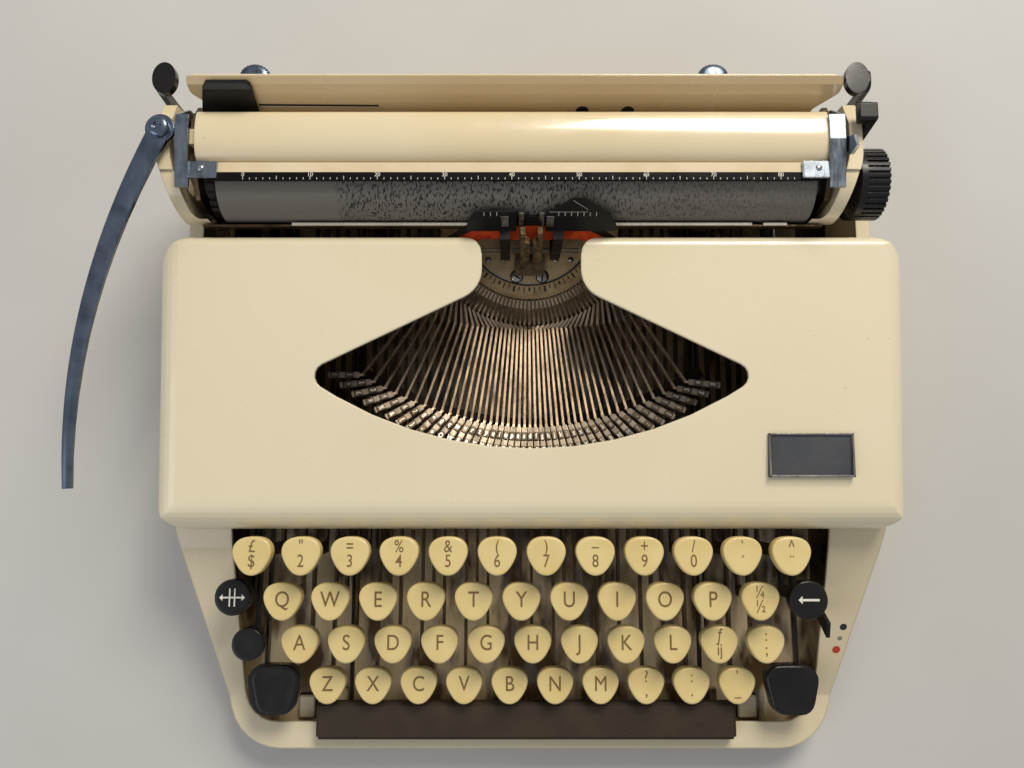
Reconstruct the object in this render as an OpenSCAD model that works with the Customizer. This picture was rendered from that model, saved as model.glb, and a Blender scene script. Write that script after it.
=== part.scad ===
// Ultra-portable manual typewriter in a cream casing: a tub with a raked
// keyboard well, a one-piece top cover with a wing-shaped type opening, and a
// carriage that runs behind the cover. Millimetres, +X to the typist's right,
// +Y to the rear, +Z up. The machine is drawn about the middle of its casing
// and stands on its rubber feet at z = 0.

/* [Casing] */
// Width of the top cover
cover_w = 296; // [292:1:304]
// Thickness of the casing walls
wall = 1.6; // [1.2:0.1:2.2]
// Height of the rubber feet
foot_h = 4; // [3:0.5:6]
// Diameter of the rubber feet
foot_d = 16; // [12:1:20]
// Height of the front lip
lip_z = 17; // [15:0.5:18]
// Height of the seam between tub and cover
seam_z = 44; // [42:0.5:45]
// Height of the cover's top at its front edge
cover_front_z = 62; // [60:0.5:64]
// Height of the cover's top at its rear edge
cover_rear_z = 71.5; // [70:0.5:73]
// Radius of the rolled front edge of the cover
roll_r = 12; // [8:1:14]
// Radius of the cover's rear corners in plan
cover_corner_r = 16; // [10:1:20]
// Half width of the type opening's rear notch
notch_half = 19.5; // [19.5:0.5:22]
// Distance of the opening's side tips from the middle
tip_x = 90; // [86:1:93]
// Width of the badge plate
badge_w = 33; // [25:1:36]
// Depth of the badge plate
badge_d = 17; // [12:1:19]

/* [Keyboard] */
// Distance between neighbouring keys in a row
key_pitch = 19; // [18.6:0.1:19.2]
// Distance between key rows, front to back
row_step = 18.6; // [18.2:0.1:19]
// Height difference between key rows
row_rise = 10.7; // [10:0.1:11]
// Height of the number row's key tops
key_top_z = 62; // [61:0.5:63]
// Width of a key cap
cap_w = 15; // [13:0.5:15.5]
// Thickness of a key cap
cap_t = 5; // [3:0.5:6]
// Length of the space bar
bar_w = 174; // [150:1:178]
// Depth of the space bar
bar_d = 14; // [11:0.5:14]
// Thickness of the key levers
lever_t = 1.2; // [1:0.1:1.5]
// Diameter of the shaft that the key levers turn on
lever_shaft_d = 4; // [3:0.5:5]
// Radial running clearance of everything that turns on a pin
run_fit = 0.08; // [0.05:0.01:0.1]

/* [Type basket] */
// Number of typebars
bar_count = 44; // [40:2:46]
// Radius of the typebar pivot arc
pivot_r = 40; // [38:0.5:42]
// Half angle that the typebar pivots cover
fan_a = 58; // [54:1:60]
// Thickness of a typebar
typebar_t = 1; // [0.7:0.1:1.1]
// Width of a type slug
slug_w = 2; // [1.6:0.1:2.1]

/* [Carriage] */
// Diameter of the platen
platen_d = 30; // [28:0.5:30.5]
// Length of the platen
platen_w = 230; // [220:1:232]
// Diameter of the platen knob
knob_d = 28; // [26:0.5:31]
// Width of the platen knob
knob_w = 11; // [8:0.5:14]
// Thickness of the carriage sheet metal
sheet = 1.2; // [0.8:0.1:1.5]
// Length of the return lever
return_l = 137; // [120:1:140]
// Width of the return lever
return_w = 8; // [6:0.5:9]

/* [Hidden] */
$fn = 48;
e = 0.01;
cream = [0.86, 0.81, 0.66];
steel = [0.55, 0.56, 0.58];
dark = [0.12, 0.11, 0.10];
chrome = [0.75, 0.77, 0.80];

// The origin is under the middle of the machine's whole bounding box. The
// return lever reaches further left than anything reaches right.
return_root = [-140.1, 104, 89];
return_a = 11;
return_t = 1.6;
return_pin_d = 4;
return_bow = 19;
return_end_w = 3.2;
shift_x = -(min([for (p = return_outline()) p[0]]) + cover_w / 2) / 2;

// Casing places
floor_z = foot_h + wall;
front_y = -141;
cover_y0 = -46.6;
cover_y1 = 68.6;
rear_y = 128;
tub_half = cover_w / 2 - 2.5;
front_half = 124.5;
well_half = 122.5;
well_y0 = -130;
rim_r = 22;
rake_y0 = front_y + 22;
edge_r = 4;

// Keyboard places
row_y0 = -56;
row_x0 = [-108.4, -98.9, -94.15, -84.65];
row_n = [12, 11, 11, 10];
unit = key_pitch / 4;
shaft_y = 95;
shaft_z = 9.5;
lever_rise = 0.0459;
space_x = -1.7;
lever_h = 4;
lever_hub_d = lever_shaft_d + 3;
function row_y(r) = row_y0 - r * row_step;
function row_z(r) = key_top_z - r * row_rise;
function key_x(r, k) = row_x0[0] + (row_x0[r] - row_x0[0]) * key_pitch / 19 + k * key_pitch;
function home_x(k) = key_x(2, k - 1);

// Frame places
plate_x = 128;
plate_t = 2;
plate_top = seam_z - 2;

// Type basket places: the basket leans forward about the segment's centre
seg_y = 87.2;
seg_z = 35;
lean = 14.5;
seg_in = pivot_r - 12;
seg_out = pivot_r + 6;
band_r = pivot_r - 6.2;
bar_y = -4;
bar_z = 34.6;
slug_tilt = 14.9;
bend_x = 72;
bend_rise = 21.7;
slug_l = 13;
slug_h = 4;

// Carriage places
axis_y = 89.7;
axis_z = 69.3;
platen_x0 = -121;
platen_x1 = platen_x0 + platen_w;
plate_l = platen_x0 - 10;
plate_r = platen_x1 + 5;
end_x0 = plate_l - 12;
end_x1 = plate_r + 12;
platen_r = platen_d / 2;
cheek_r = platen_r + 0.7;
apron_r = platen_r + 1.5;
under_z = 46;
spindle_d = 8;

// Points of an outline with each corner rounded by its own radius
function unitv(v) = v / norm(v);
function corner(p, a, b, r, n) =
    let (u = unitv(a - p), v = unitv(b - p),
         half = acos(max(-1, min(1, u * v))) / 2)
    r <= 0 || half > 89.9 ? [p] :
    let (m = unitv(u + v), c = p + m * (r / sin(half)),
         s = p + u * (r / tan(half)) - c, t = p + v * (r / tan(half)) - c,
         a0 = atan2(s[1], s[0]), a1 = atan2(t[1], t[0]),
         turn = a1 - a0 > 180 ? a1 - a0 - 360 : a1 - a0 < -180 ? a1 - a0 + 360 : a1 - a0)
    [for (i = [0 : n]) c + r * [cos(a0 + turn * i / n), sin(a0 + turn * i / n)]];
function rounded(pts, radii, n = 6) = let (m = len(pts))
    [for (i = [0 : m - 1])
        each corner(pts[i], pts[(i + m - 1) % m], pts[(i + 1) % m], radii[i], n)];

// Extrudes a Y-Z profile along X, an X-Z profile along Y, and lays out pins
module along_x(x0, x1) { translate([x0, 0, 0]) rotate([90, 0, 90]) linear_extrude(x1 - x0) children(); }
module along_y(y0, y1) { translate([0, y1, 0]) rotate([90, 0, 0]) linear_extrude(y1 - y0) children(); }
module pin_x(x0, x1, y, z, d) { translate([x0, y, z]) rotate([0, 90, 0]) cylinder(d = d, h = x1 - x0); }
module placed() { translate([shift_x, 0, 0]) children(); }

// ---------------------------------------------------------------- casing

function tub_outline(d) = rounded(
    [[-tub_half + d, rear_y - d], [-tub_half + d, cover_y0], [-front_half + d, front_y + d],
     [front_half - d, front_y + d], [tub_half - d, cover_y0], [tub_half - d, rear_y - d]],
    [14 - d, 0, rim_r - d, rim_r - d, 0, 14 - d]);

// Side profile of the tub's top edge: front lip, raked rims, level seam
function tub_profile(d) = [
    [front_y - 9, foot_h - 9], [front_y - 9, lip_z - d], [rake_y0, lip_z - d],
    [cover_y0 - 8, seam_z - 2 - d], [cover_y0, seam_z - d], [rear_y + 9, seam_z - d],
    [rear_y + 9, foot_h - 9]];

module well_outline() {
    polygon(rounded([[-well_half, cover_y0 + 5], [-well_half, well_y0], [well_half, well_y0],
                     [well_half, cover_y0 + 5]], [0, 14, 14, 0]));
    translate([space_x - bar_w / 2 - 2, front_y + 4]) square([bar_w + 4, 20]);
}

// Waste outside the rolled rim: a quarter-round edge with its corner at the origin
module roll_waste() {
    difference() {
        translate([-edge_r, -edge_r]) square(edge_r + 5);
        translate([-edge_r, -edge_r]) circle(r = edge_r);
    }
}
module rim_waste() {
    taper = atan((tub_half - front_half) / (cover_y0 - front_y));
    rake = atan((seam_z - 2 - lip_z) / (cover_y0 - 8 - rake_y0));
    // centre of the front corner's round, which touches the front and the tapering side
    corner_x = front_half - rim_r * (1 / cos(taper) - tan(taper));
    rake_x = front_half + (rake_y0 - front_y) * tan(taper);
    translate([0, front_y, lip_z]) rotate([0, -90, 0]) rotate([0, 0, -90])
        translate([0, 0, -corner_x]) linear_extrude(2 * corner_x) roll_waste();
    for (s = [0, 1]) mirror([s, 0, 0]) {
        translate([corner_x, front_y + rim_r, lip_z]) rotate([0, 0, -90])
            rotate_extrude(angle = 90 - taper) translate([rim_r, 0]) roll_waste();
        // straight stretch, then the rake up to the cover
        translate([rake_x, rake_y0, lip_z]) rotate([0, 0, -taper]) {
            rotate([90, 0, 0]) translate([0, 0, -0.7]) linear_extrude(rake_y0 - front_y - rim_r + 8.7) roll_waste();
            rotate([rake, 0, 0]) rotate([90, 0, 0]) translate([0, 0, -120]) linear_extrude(120.7) roll_waste();
        }
    }
}

module base_shell() {
    color(cream) placed() difference() {
        intersection() {
            translate([0, 0, foot_h]) linear_extrude(seam_z) polygon(tub_outline(0));
            along_x(-200, 200) polygon(tub_profile(0));
        }
        rim_waste();
        // hollow under the rims
        intersection() {
            translate([0, 0, floor_z]) linear_extrude(seam_z) polygon(tub_outline(wall));
            along_x(-200, 200) polygon(tub_profile(wall));
        }
        // keyboard well, and the open rear under the cover and carriage
        translate([0, 0, floor_z]) linear_extrude(seam_z) well_outline();
        translate([-tub_half + 6, cover_y0, seam_z - 9])
            cube([2 * tub_half - 12, rear_y - 4 - cover_y0, 20]);
    }
    // felt-faced stops under the ends of the space bar
    color(cream) placed() for (s = [-1, 1])
        translate([space_x + s * (bar_w / 2 - 6) - 3, -126, floor_z - e]) cube([6, 8, 4]);
}

module rubber_feet() {
    color(dark) placed() for (x = [-1, 1], y = [front_y + 24, rear_y - 20])
        translate([x * (y < 0 ? front_half - 18 : tub_half - 20), y, 0])
            cylinder(d1 = foot_d - 2, d2 = foot_d, h = foot_h);
}

function cover_profile(d) = rounded(
    [[cover_y0 + d, seam_z - 20], [cover_y0 + d, cover_front_z - d],
     [cover_y1 - d, cover_rear_z - d], [cover_y1 - d, seam_z - 20]],
    [0, roll_r - d, 4 - d, 0], 8);

module cover_body(d) {
    rake = atan((cover_rear_z - cover_front_z) / (cover_y1 - cover_y0));
    half = cover_w / 2 - d;
    intersection() {
        translate([0, 0, seam_z - 20]) linear_extrude(60) polygon(rounded(
            [[-half, cover_y1 - d], [-half, cover_y0 + d], [half, cover_y0 + d], [half, cover_y1 - d]],
            [cover_corner_r - d, front_corner_r - d, front_corner_r - d, cover_corner_r - d], 8));
        along_x(-200, 200) polygon(cover_profile(d));
        translate([0, cover_y0, cover_front_z - d]) rotate([rake, 0, 0]) along_y(-60, 150)
            polygon(rounded([[-half, -60], [-half, 0], [half, 0], [half, -60]],
                            [0, 9 - d, 9 - d, 0], 6));
    }
}

// Wing-shaped opening over the type basket, open to the rear
tip_y = 14;
low_y = -15;
front_corner_r = 13;
notch_r = 8;
low_r = (pow(tip_x, 2) + pow(tip_y - low_y, 2)) / (2 * (tip_y - low_y));
module type_opening() {
    sweep = asin(tip_x / low_r);
    polygon(concat(
        corner([-notch_half, 47.5], [-notch_half, 90], [-tip_x, tip_y], 12, 6),
        corner([-tip_x, tip_y], [-notch_half, 47.5], [-tip_x * 0.8, tip_y - 12], 5, 5),
        [for (i = [-5 : 5]) [low_r * sin(sweep * i / 6), low_y + low_r * (1 - cos(sweep * i / 6))]],
        corner([tip_x, tip_y], [tip_x * 0.8, tip_y - 12], [notch_half, 47.5], 5, 5),
        corner([notch_half, 47.5], [tip_x, tip_y], [notch_half, 90], 12, 6),
        corner([notch_half, cover_y1], [notch_half, 60], [notch_half + 9, cover_y1], notch_r, 4),
        [[notch_half + notch_r, 90], [-notch_half - notch_r, 90]],
        corner([-notch_half, cover_y1], [-notch_half - 9, cover_y1], [-notch_half, 60], notch_r, 4)));
}

module top_cover() {
    color(cream) placed() difference() {
        intersection() {
            cover_body(0);
            translate([-200, -100, seam_z]) cube([400, 300, 60]);
        }
        difference() {
            cover_body(wall);
            // seat flange round the lower edge
            difference() {
                translate([-200, -100, seam_z - 1]) cube([400, 300, 1 + wall]);
                translate([-tub_half + 5, cover_y0 - 1, seam_z - 2])
                    cube([2 * tub_half - 10, 200, 5]);
            }
        }
        translate([0, 0, seam_z - 5]) linear_extrude(60) type_opening();
        // the rear is open below the rolled edge, where the ribbon and carriage are
        translate([-tub_half + 8, cover_y1 - 5, seam_z - 1])
            cube([2 * tub_half - 16, 10, cover_rear_z - seam_z - 6]);
    }
}

module badge_plate() {
    // a thin frame round a bare panel, lying on the raked cover
    rake = atan((cover_rear_z - cover_front_z) / (cover_y1 - cover_y0));
    y = -17.6;
    z = cover_front_z + (y - badge_d / 2 - cover_y0) * tan(rake);
    color([0.2, 0.23, 0.27]) placed() translate([108.5 - badge_w / 2, y - badge_d / 2, z])
        rotate([rake, 0, 0]) difference() {
            cube([badge_w, badge_d, 1.2]);
            translate([1, 1, 0.8]) cube([badge_w - 2, badge_d - 2, 1]);
        }
}

// ---------------------------------------------------------------- frame

module main_frame() {
    color(steel) placed() difference() {
        union() {
            for (s = [-1, 1]) along_x(s * plate_x - plate_t / 2, s * plate_x + plate_t / 2)
                polygon([[-60, floor_z], [120, floor_z], [120, plate_top], [60, plate_top],
                         [40, plate_top - 6], [-20, plate_top - 6], [-60, 20]]);
            // rear tie bar and drum bracket
            translate([-plate_x, 114, floor_z]) cube([2 * plate_x, plate_t, plate_top - floor_z - 4]);
            // side brackets that carry the ribbon spools
            for (s = [-1, 1]) translate([s * 105 - 20, 24, 42 - plate_t]) cube([40, 40, plate_t]);
            for (s = [-1, 1]) translate([s * 124.5 - 4.5, 20, 36]) cube([9, 44, 4 + e]);
            for (s = [-1, 1]) translate([s * 105, 42, 41]) cylinder(d = 5, h = 17);
            // pins of the mainspring drum and the escapement wheel
            pin_y(107, 115, -100, 27, 4);
            pin_y(107, 115, 30, 27, 4);
            // cross bar behind the segment, with the arms of the card holders
            translate([-plate_x, 86, 38]) cube([2 * plate_x, 4, 4]);
            for (s = [-1, 1]) translate([s * post_x - 2, post_y, 42 - e]) cube([4, 90 - post_y, 2]);
            // bell bracket and the ribbon selector's lug
            translate([bell_x - 4, 90, 18]) cube([8, 25, 2]);
            along_x(plate_x - plate_t / 2, plate_x + plate_t / 2)
                polygon([[-84, floor_z], [-58, floor_z], [-58, 16], [-72, 32], [-75, 31.8], [-80, 30]]);
        }
        for (s = [-1, 1]) pin_x(s * plate_x - 5, s * plate_x + 5, shaft_y, shaft_z, lever_shaft_d);
        pin_x(plate_x - 5, plate_x + 5, -76, 28, 5 + 2 * run_fit);
    }
}
module pin_y(y0, y1, x, z, d) { translate([x, y1, z]) rotate([90, 0, 0]) cylinder(d = d, h = y1 - y0); }

module key_lever_shaft() {
    color(chrome) placed() pin_x(-plate_x - 1, plate_x + 1, shaft_y, shaft_z, lever_shaft_d);
}

// Every lever runs in its own slot of the comb
comb_y = -42;
comb_t = 2;
slot_w = lever_t + 0.7;
lever_units = [for (i = [-2.5, each [-2 : 48]]) i];
function unit_x(i) = row_x0[0] + i * unit;
space_units = [6.5, 38.5];
space_rise = 0.016;
module key_comb() {
    color(steel) placed() difference() {
        along_y(comb_y - comb_t / 2, comb_y + comb_t / 2)
            polygon([[-plate_x + 1, floor_z], [plate_x - 1, floor_z], [plate_x - 1, 30], [-plate_x + 1, 30]]);
        for (i = concat(lever_units, space_units))
            translate([unit_x(i) - slot_w / 2, comb_y - comb_t, floor_z + 0.4]) cube([slot_w, 2 * comb_t, 40]);
    }
}

module carriage_rail() {
    color(steel) placed() {
        translate([-plate_x + 1, 104, plate_top]) cube([2 * plate_x - 2, 10, under_z - 0.4 - plate_top]);
        for (s = [-1, 1]) translate([s * (plate_x - 4) - 3, 104, plate_top - 5]) cube([6, 10, 6]);
    }
}

bell_x = 80;
bell_r = 13;
module bell() {
    color(chrome) placed() translate([bell_x, 98, 20]) {
        cylinder(d = 5, h = 4);
        difference() {
            intersection() {
                sphere(r = bell_r);
                translate([0, 0, 2]) cylinder(r = bell_r + 1, h = bell_r);
            }
            intersection() {
                sphere(r = bell_r - 1);
                translate([0, 0, 1]) cylinder(r = bell_r, h = bell_r - 3);
            }
        }
        cylinder(d = 5, h = bell_r - 1.5);
    }
}

// ---------------------------------------------------------------- keys

// Cap outline: a round-cornered triangle that points at the typist
module cap_outline(w) {
    polygon([for (a = [0 : 15 : 345]) let (r = w * 0.488 * (1 + 0.07 * cos(3 * (a + 90)))) r * [cos(a), sin(a)]]);
}

// A cap with a chamfered rim and a dished top
cap_rim = 0.9;
cap_dish = 0.5;
dish_r = pow(cap_w / 2 - 1, 2) / (2 * cap_dish);
module cap() {
    difference() {
        union() {
            linear_extrude(cap_t - cap_rim) cap_outline(cap_w);
            translate([0, 0, cap_t - cap_rim])
                linear_extrude(cap_rim, scale = 1 - 1.6 * cap_rim / cap_w) cap_outline(cap_w);
        }
        translate([0, 0, cap_t - cap_dish + dish_r]) sphere(r = dish_r, $fn = 64);
    }
}

// A flat lever with its hub on the lever shaft
module lever(x, y, top, reach = 0, rise = lever_rise) {
    bend_z = shaft_z + (shaft_y - y - 2.5) * rise;
    difference() {
        union() {
            along_x(x - lever_t / 2, x + lever_t / 2) polygon([
                [shaft_y, shaft_z - lever_h / 2], [shaft_y, shaft_z + lever_h / 2],
                [y + 2.5, bend_z + lever_h / 2], [y + 2.5, top], [y - 2.5, top],
                [y - 2.5, bend_z - lever_h / 2]]);
            pin_x(x - lever_t / 2, x + lever_t / 2, shaft_y, shaft_z, lever_hub_d);
            // bent foot that carries a cap beside its lever
            if (reach != 0)
                translate([min(x, x + reach) - lever_t / 2, y - 2.5, top - 2])
                    cube([abs(reach) + lever_t, 5, 2]);
        }
        pin_x(x - 5, x + 5, shaft_y, shaft_z, lever_shaft_d + 2 * run_fit);
    }
}

module key(r, x) {
    lever(x, row_y(r), row_z(r) - cap_t + e);
    translate([x, row_y(r), row_z(r) - cap_t]) cap();
}
module row_keys(r) { color(cream) placed() for (k = [0 : row_n[r] - 1]) key(r, key_x(r, k)); }
module number_row_keys() row_keys(0);
module upper_row_keys() row_keys(1);
module lower_row_keys() row_keys(3);
module home_key(k) { color(cream) placed() key(2, home_x(k)); }

module space_bar() {
    top = 24;
    y = -128;
    color(dark) placed() {
        difference() {
            translate([space_x - bar_w / 2, y - bar_d / 2, top - 7]) cube([bar_w, bar_d, 7]);
            translate([-bar_w / 2, y - bar_d / 2 + 1.4, top - 8]) cube([bar_w - 4, bar_d - 2.8, 6.4]);
        }
        for (i = space_units) lever(unit_x(i), y + 3, top - 1.5, 0, space_rise);
    }
}

module shift_keys() {
    color(dark) placed() {
        for (p = [[-1, -107.7], [47, 110]]) {
            x = unit_x(p[0]);
            lever(x, row_y(3), row_z(3) - 4.5, p[1] - x);
            translate([p[1], row_y(3) - 1, row_z(3) - 5]) linear_extrude(6) polygon(rounded(
                [[-11.5, 9], [11.5, 9], [7, -11], [-7, -11]], [6, 6, 6, 6], 4));
        }
        // tails and the yoke that tie both shift levers together behind the shaft
        for (i = [-1, 47]) translate([unit_x(i) - lever_t / 2, shaft_y + lever_hub_d / 2 - 1, shaft_z - 2])
            cube([lever_t, 6, 4]);
        translate([unit_x(-1), shaft_y + lever_hub_d / 2 + 2, shaft_z - 2])
            cube([unit_x(47) - unit_x(-1), 3, 4]);
    }
}

module round_key(i, x, y, z, d) {
    lever(unit_x(i), y, z - 4, x - unit_x(i));
    translate([x, y, z - 5]) cylinder(d = d, h = 5);
}
module shift_lock_key() { color(dark) placed() round_key(-2, -115.5, row_y(2) - 0.5, row_z(2) - 1, 13); }
module margin_release_key() { color(dark) placed() round_key(-2.5, -119, row_y(1) + 1, row_z(1) - 1, 14); }
module backspace_key() { color(dark) placed() round_key(46, 110.5, row_y(1), row_z(1) - 1, 15); }

// ---------------------------------------------------------------- ribbon

module ribbon_selector() {
    color(dark) placed() {
        pin_x(118.5, plate_x + 2, -76, 28, 5);
        along_x(118.5, 120) polygon([[-78.5, 28], [-73.5, 28], [-84, 47], [-90, 45.4]]);
    }
}

module spool(s) {
    color(steel) placed() translate([s * 105, 42, 42.3]) difference() {
        union() {
            cylinder(d = 34, h = 0.8);
            cylinder(d = 11, h = 15);
            translate([0, 0, 14.2]) cylinder(d = 34, h = 0.8);
            translate([0, 0, 0.5]) cylinder(d = s < 0 ? 29 : 22, h = 14);
        }
        translate([0, 0, -1]) cylinder(d = 5 + 2 * run_fit, h = 20);
    }
}
module ribbon_spool_left() spool(-1);
module ribbon_spool_right() spool(1);

ribbon_t = 0.3;
ribbon_h = 12.5;
run_y = 68.5;
module ribbon_runs() {
    color([0.35, 0.07, 0.06]) placed() for (s = [-1, 1]) {
        d = s < 0 ? 29.6 : 22.6;
        linear_strip([s * 105, 42 + d / 2], [s * 41, run_y], 43.8);
        on_print_plane(1.2, vibrator_lift) along_y(0, ribbon_t) polygon([
            for (q = [[13, -0.5], [25, -0.5], [41, -1.1], [41, -0.1], [25, 0.5], [13, 0.5]])
                [s * q[0], q[1] * ribbon_h]]);
    }
}
module linear_strip(a, b, z) {
    v = b - a;
    translate([a[0], a[1], z]) rotate([0, 0, atan2(v[1], v[0])])
        translate([0, -ribbon_t / 2, 0]) cube([norm(v), ribbon_t, ribbon_h]);
}

// The vibrator slides up the print plane; positions are measured along it
print_a = 28.6;
print_y = axis_y - (platen_r + 0.04) * cos(print_a);
print_z = axis_z + (platen_r + 0.04) * sin(print_a);
module on_print_plane(gap, down) {
    translate([0, print_y - gap * cos(print_a), print_z + gap * sin(print_a)])
        rotate([-print_a, 0, 0]) translate([0, 0, -down]) children();
}
vibrator_lift = 8;
post_x = 10.5;
post_y = print_y - 10.2;
module ribbon_vibrator() {
    color([0.45, 0.35, 0.25]) placed() on_print_plane(1.5, vibrator_lift) difference() {
        translate([-7.5, -0.9, -13]) cube([15, 0.8, 22]);
        translate([-3, -2, -9]) cube([6, 4, 30]);
        for (s = [-1, 1]) translate([s * 7.4 - 2.5, -2, -10.5]) cube([5, 4, 30]);
    }
}
module ribbon_span() {
    color([0.35, 0.07, 0.06]) placed() on_print_plane(1.2, vibrator_lift)
        translate([-12, 0, -ribbon_h / 2]) cube([24, ribbon_t, ribbon_h]);
}

// Two wings that press the paper to the platen, on posts from the frame's arms
module card_holders() {
    color(dark) placed() {
        on_print_plane(3, 0) along_y(-0.8, 0) {
            polygon([[-25.5, -7], [-6, -7], [-6, 3.2], [-21.5, 3.2], [-25, -2]]);
            polygon([[5.5, -7], [33.5, -7], [33, -4], [30, 2], [19.3, 10.2], [16.3, 10.2], [5.5, 2.2]]);
        }
        for (s = [-1, 1]) {
            translate([s * post_x - 2, post_y, 44]) cube([4, 2, 28.4]);
            translate([s * post_x - 2, post_y, 70.4]) cube([4, 4.9, 2]);
        }
    }
}

// ---------------------------------------------------------------- basket

module basket() { translate([0, seg_y, seg_z]) rotate([lean, 0, 0]) children(); }
// Angle of bar i in the fan
function fan(i) = fan_a * (i - bar_count / 2) / (bar_count / 2);

module segment_ring(r0, r1, z0, z1, a) {
    difference() {
        translate([0, 0, z0]) difference() {
            cylinder(r = r1, h = z1 - z0, $fn = 96);
            translate([0, 0, -1]) cylinder(r = r0, h = z1 - z0 + 2, $fn = 96);
        }
        for (s = [-1, 1]) rotate([0, 0, s * a])
            translate([s < 0 ? -2 * r1 : 0, -2 * r1, z0 - 1]) cube([2 * r1, 4 * r1, z1 - z0 + 2]);
        translate([-2 * r1, 0, z0 - 1]) cube([4 * r1, 2 * r1, z1 - z0 + 2]);
    }
}

slot_floor = 2.3;
pivot_pin_d = 1.5;
module type_segment() {
    mid = pivot_at(bar_count / 2);
    color(steel) placed() {
        difference() {
            union() {
                basket() segment_ring(seg_in, band_r, -3.4, 4, fan_a + 5);
                basket() segment_ring(band_r - e, seg_out, -3.4, 0.5, fan_a + 5);
                // lugs that slide on the cross bar when the basket shifts
                for (s = [-1, 1]) along_x(s * 35 - 4, s * 35 + 4)
                    polygon([[69, 26], [85.7, 26], [85.7, 41], [82, 41], [82, 33], [69, 33]]);
            }
            basket() for (i = [0 : bar_count - 1]) rotate([0, 0, fan(i)])
                translate([-typebar_t / 2 - 0.15, -seg_out - 1, i == bar_count / 2 ? -6 : -slot_floor])
                    cube([typebar_t + 0.3, seg_out + 1.8 - pivot_r + heel_l, 12]);
        }
        pin_x(-typebar_t / 2 - 0.5, typebar_t / 2 + 0.5, mid[1], mid[2], pivot_pin_d);
    }
}

module segment_plate() {
    color([0.5, 0.46, 0.4]) placed() basket() difference() {
        translate([0, 0, 4]) cylinder(r = seg_in + 1, h = 1.5, $fn = 96);
        translate([-60, -8, 0]) cube([120, 80, 10]);
    }
}

// A fixed typebar: pivot end, knee, bend and slug, each a flat bar
function bend_at(u) = bend_x * (0.7 * u + 0.3 * pow(u, 3));
function basket_pt(a, r, z) = [sin(a) * r, seg_y - r * cos(a) * cos(lean) - z * sin(lean),
    seg_z - r * cos(a) * sin(lean) + z * cos(lean)];
function pivot_at(i) = basket_pt(fan(i), pivot_r, 0);
function bend_pt(i) = let (x = bend_at((i - bar_count / 2) / (bar_count / 2)))
    [x, bar_y + bend_rise * pow(x / bend_x, 2), bar_z];
function knee_pt(i) = let (b = bend_pt(i), t = 0.25)
    [0.725 * b[0], 39.6 + 5.4 * pow(b[0] / bend_x, 2),
     pivot_at(i)[2] * (1 - t) + bar_z * t - 1];
function slug_dir(i) = let (a = 88 * bend_pt(i)[0] / bend_x)
    [sin(a) * cos(slug_tilt), -cos(a) * cos(slug_tilt), sin(slug_tilt)];

module flat_bar(p, q, t, h) {
    v = q - p;
    translate(p) rotate([0, 0, atan2(v[1], v[0])]) rotate([0, -asin(v[2] / norm(v)), 0])
        translate([-t / 2, -t / 2, -h / 2]) cube([norm(v) + t, t, h]);
}
// Where a bar leaves its radial slot, slightly above its pivot
exit_r = seg_out + 1.2;
heel_l = 4;
function slot_pt(i) = basket_pt(fan(i), exit_r, (exit_r - pivot_r) * tan(lean + slug_tilt));
module typebar(i) {
    o = slot_pt(i);
    k = knee_pt(i);
    b = bend_pt(i);
    basket() rotate([0, 0, fan(i)]) translate([-typebar_t / 2, -pivot_r, 0]) {
        rotate([-lean - slug_tilt, 0, 0])
            translate([0, -(exit_r - pivot_r) / cos(lean + slug_tilt), -1.7])
                cube([typebar_t, (exit_r - pivot_r) / cos(lean + slug_tilt) + 1, 3.4]);
        translate([0, -0.5, -1.7]) cube([typebar_t, heel_l + 0.5, 3.4]);
    }
    flat_bar(o, k, typebar_t, 3.2);
    flat_bar(k, b, typebar_t, 3);
    flat_bar(b, b + 2.5 * slug_dir(i), typebar_t, 3);
    translate(b + 1.5 * slug_dir(i)) rotate([0, 0, atan2(slug_dir(i)[1], slug_dir(i)[0])])
        rotate([0, -slug_tilt, 0]) translate([0, -slug_w / 2, -slug_h / 2]) cube([slug_l, slug_w, slug_h]);
}
module typebars() {
    color(chrome) placed() for (i = [0 : bar_count - 1]) if (i != bar_count / 2) typebar(i);
}
module moving_typebar() {
    p = pivot_at(bar_count / 2);
    color(chrome) placed() difference() {
        union() {
            typebar(bar_count / 2);
            pin_x(-typebar_t / 2, typebar_t / 2, p[1], p[2], 4);
        }
        pin_x(-5, 5, p[1], p[2], pivot_pin_d + 2 * run_fit);
    }
}

module typebar_rest() {
    // felt-topped arc under the slugs, with its carrier
    color([0.3, 0.12, 0.1]) placed() for (i = [0 : 2 : bar_count - 2]) {
        p = bend_pt(i);
        q = bend_pt(i + 2);
        flat_bar([p[0], p[1] + 1, bar_z - 4.8], [q[0], q[1] + 1, bar_z - 4.8], 5, 5);
    }
}

module type_guide() {
    color([0.4, 0.36, 0.3]) placed() {
        // fork whose prongs stand before the paper, on a foot screwed to the plate
        basket() translate([-6.5, -25, 5.5]) cube([13, 9, 1.6]);
        difference() {
            union() {
                on_print_plane(4.5, 18.5) translate([-4.3, -4, 0]) cube([8.6, 4, 14.5]);
                along_x(-4.3, 4.3) polygon([[66, 36], [70, 37], [70, 47], [64.2, 59.6], [63.8, 62.8],
                                            [60.4, 64.6], [60.6, 58], [66, 46]]);
            }
            translate([-1.6, 50, 41]) cube([3.2, 30, 40]);
            on_print_plane(9, 9) translate([-2.4, -5, 0]) cube([4.8, 20, 20]);
        }
    }
}

// ---------------------------------------------------------------- inner drive

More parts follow.
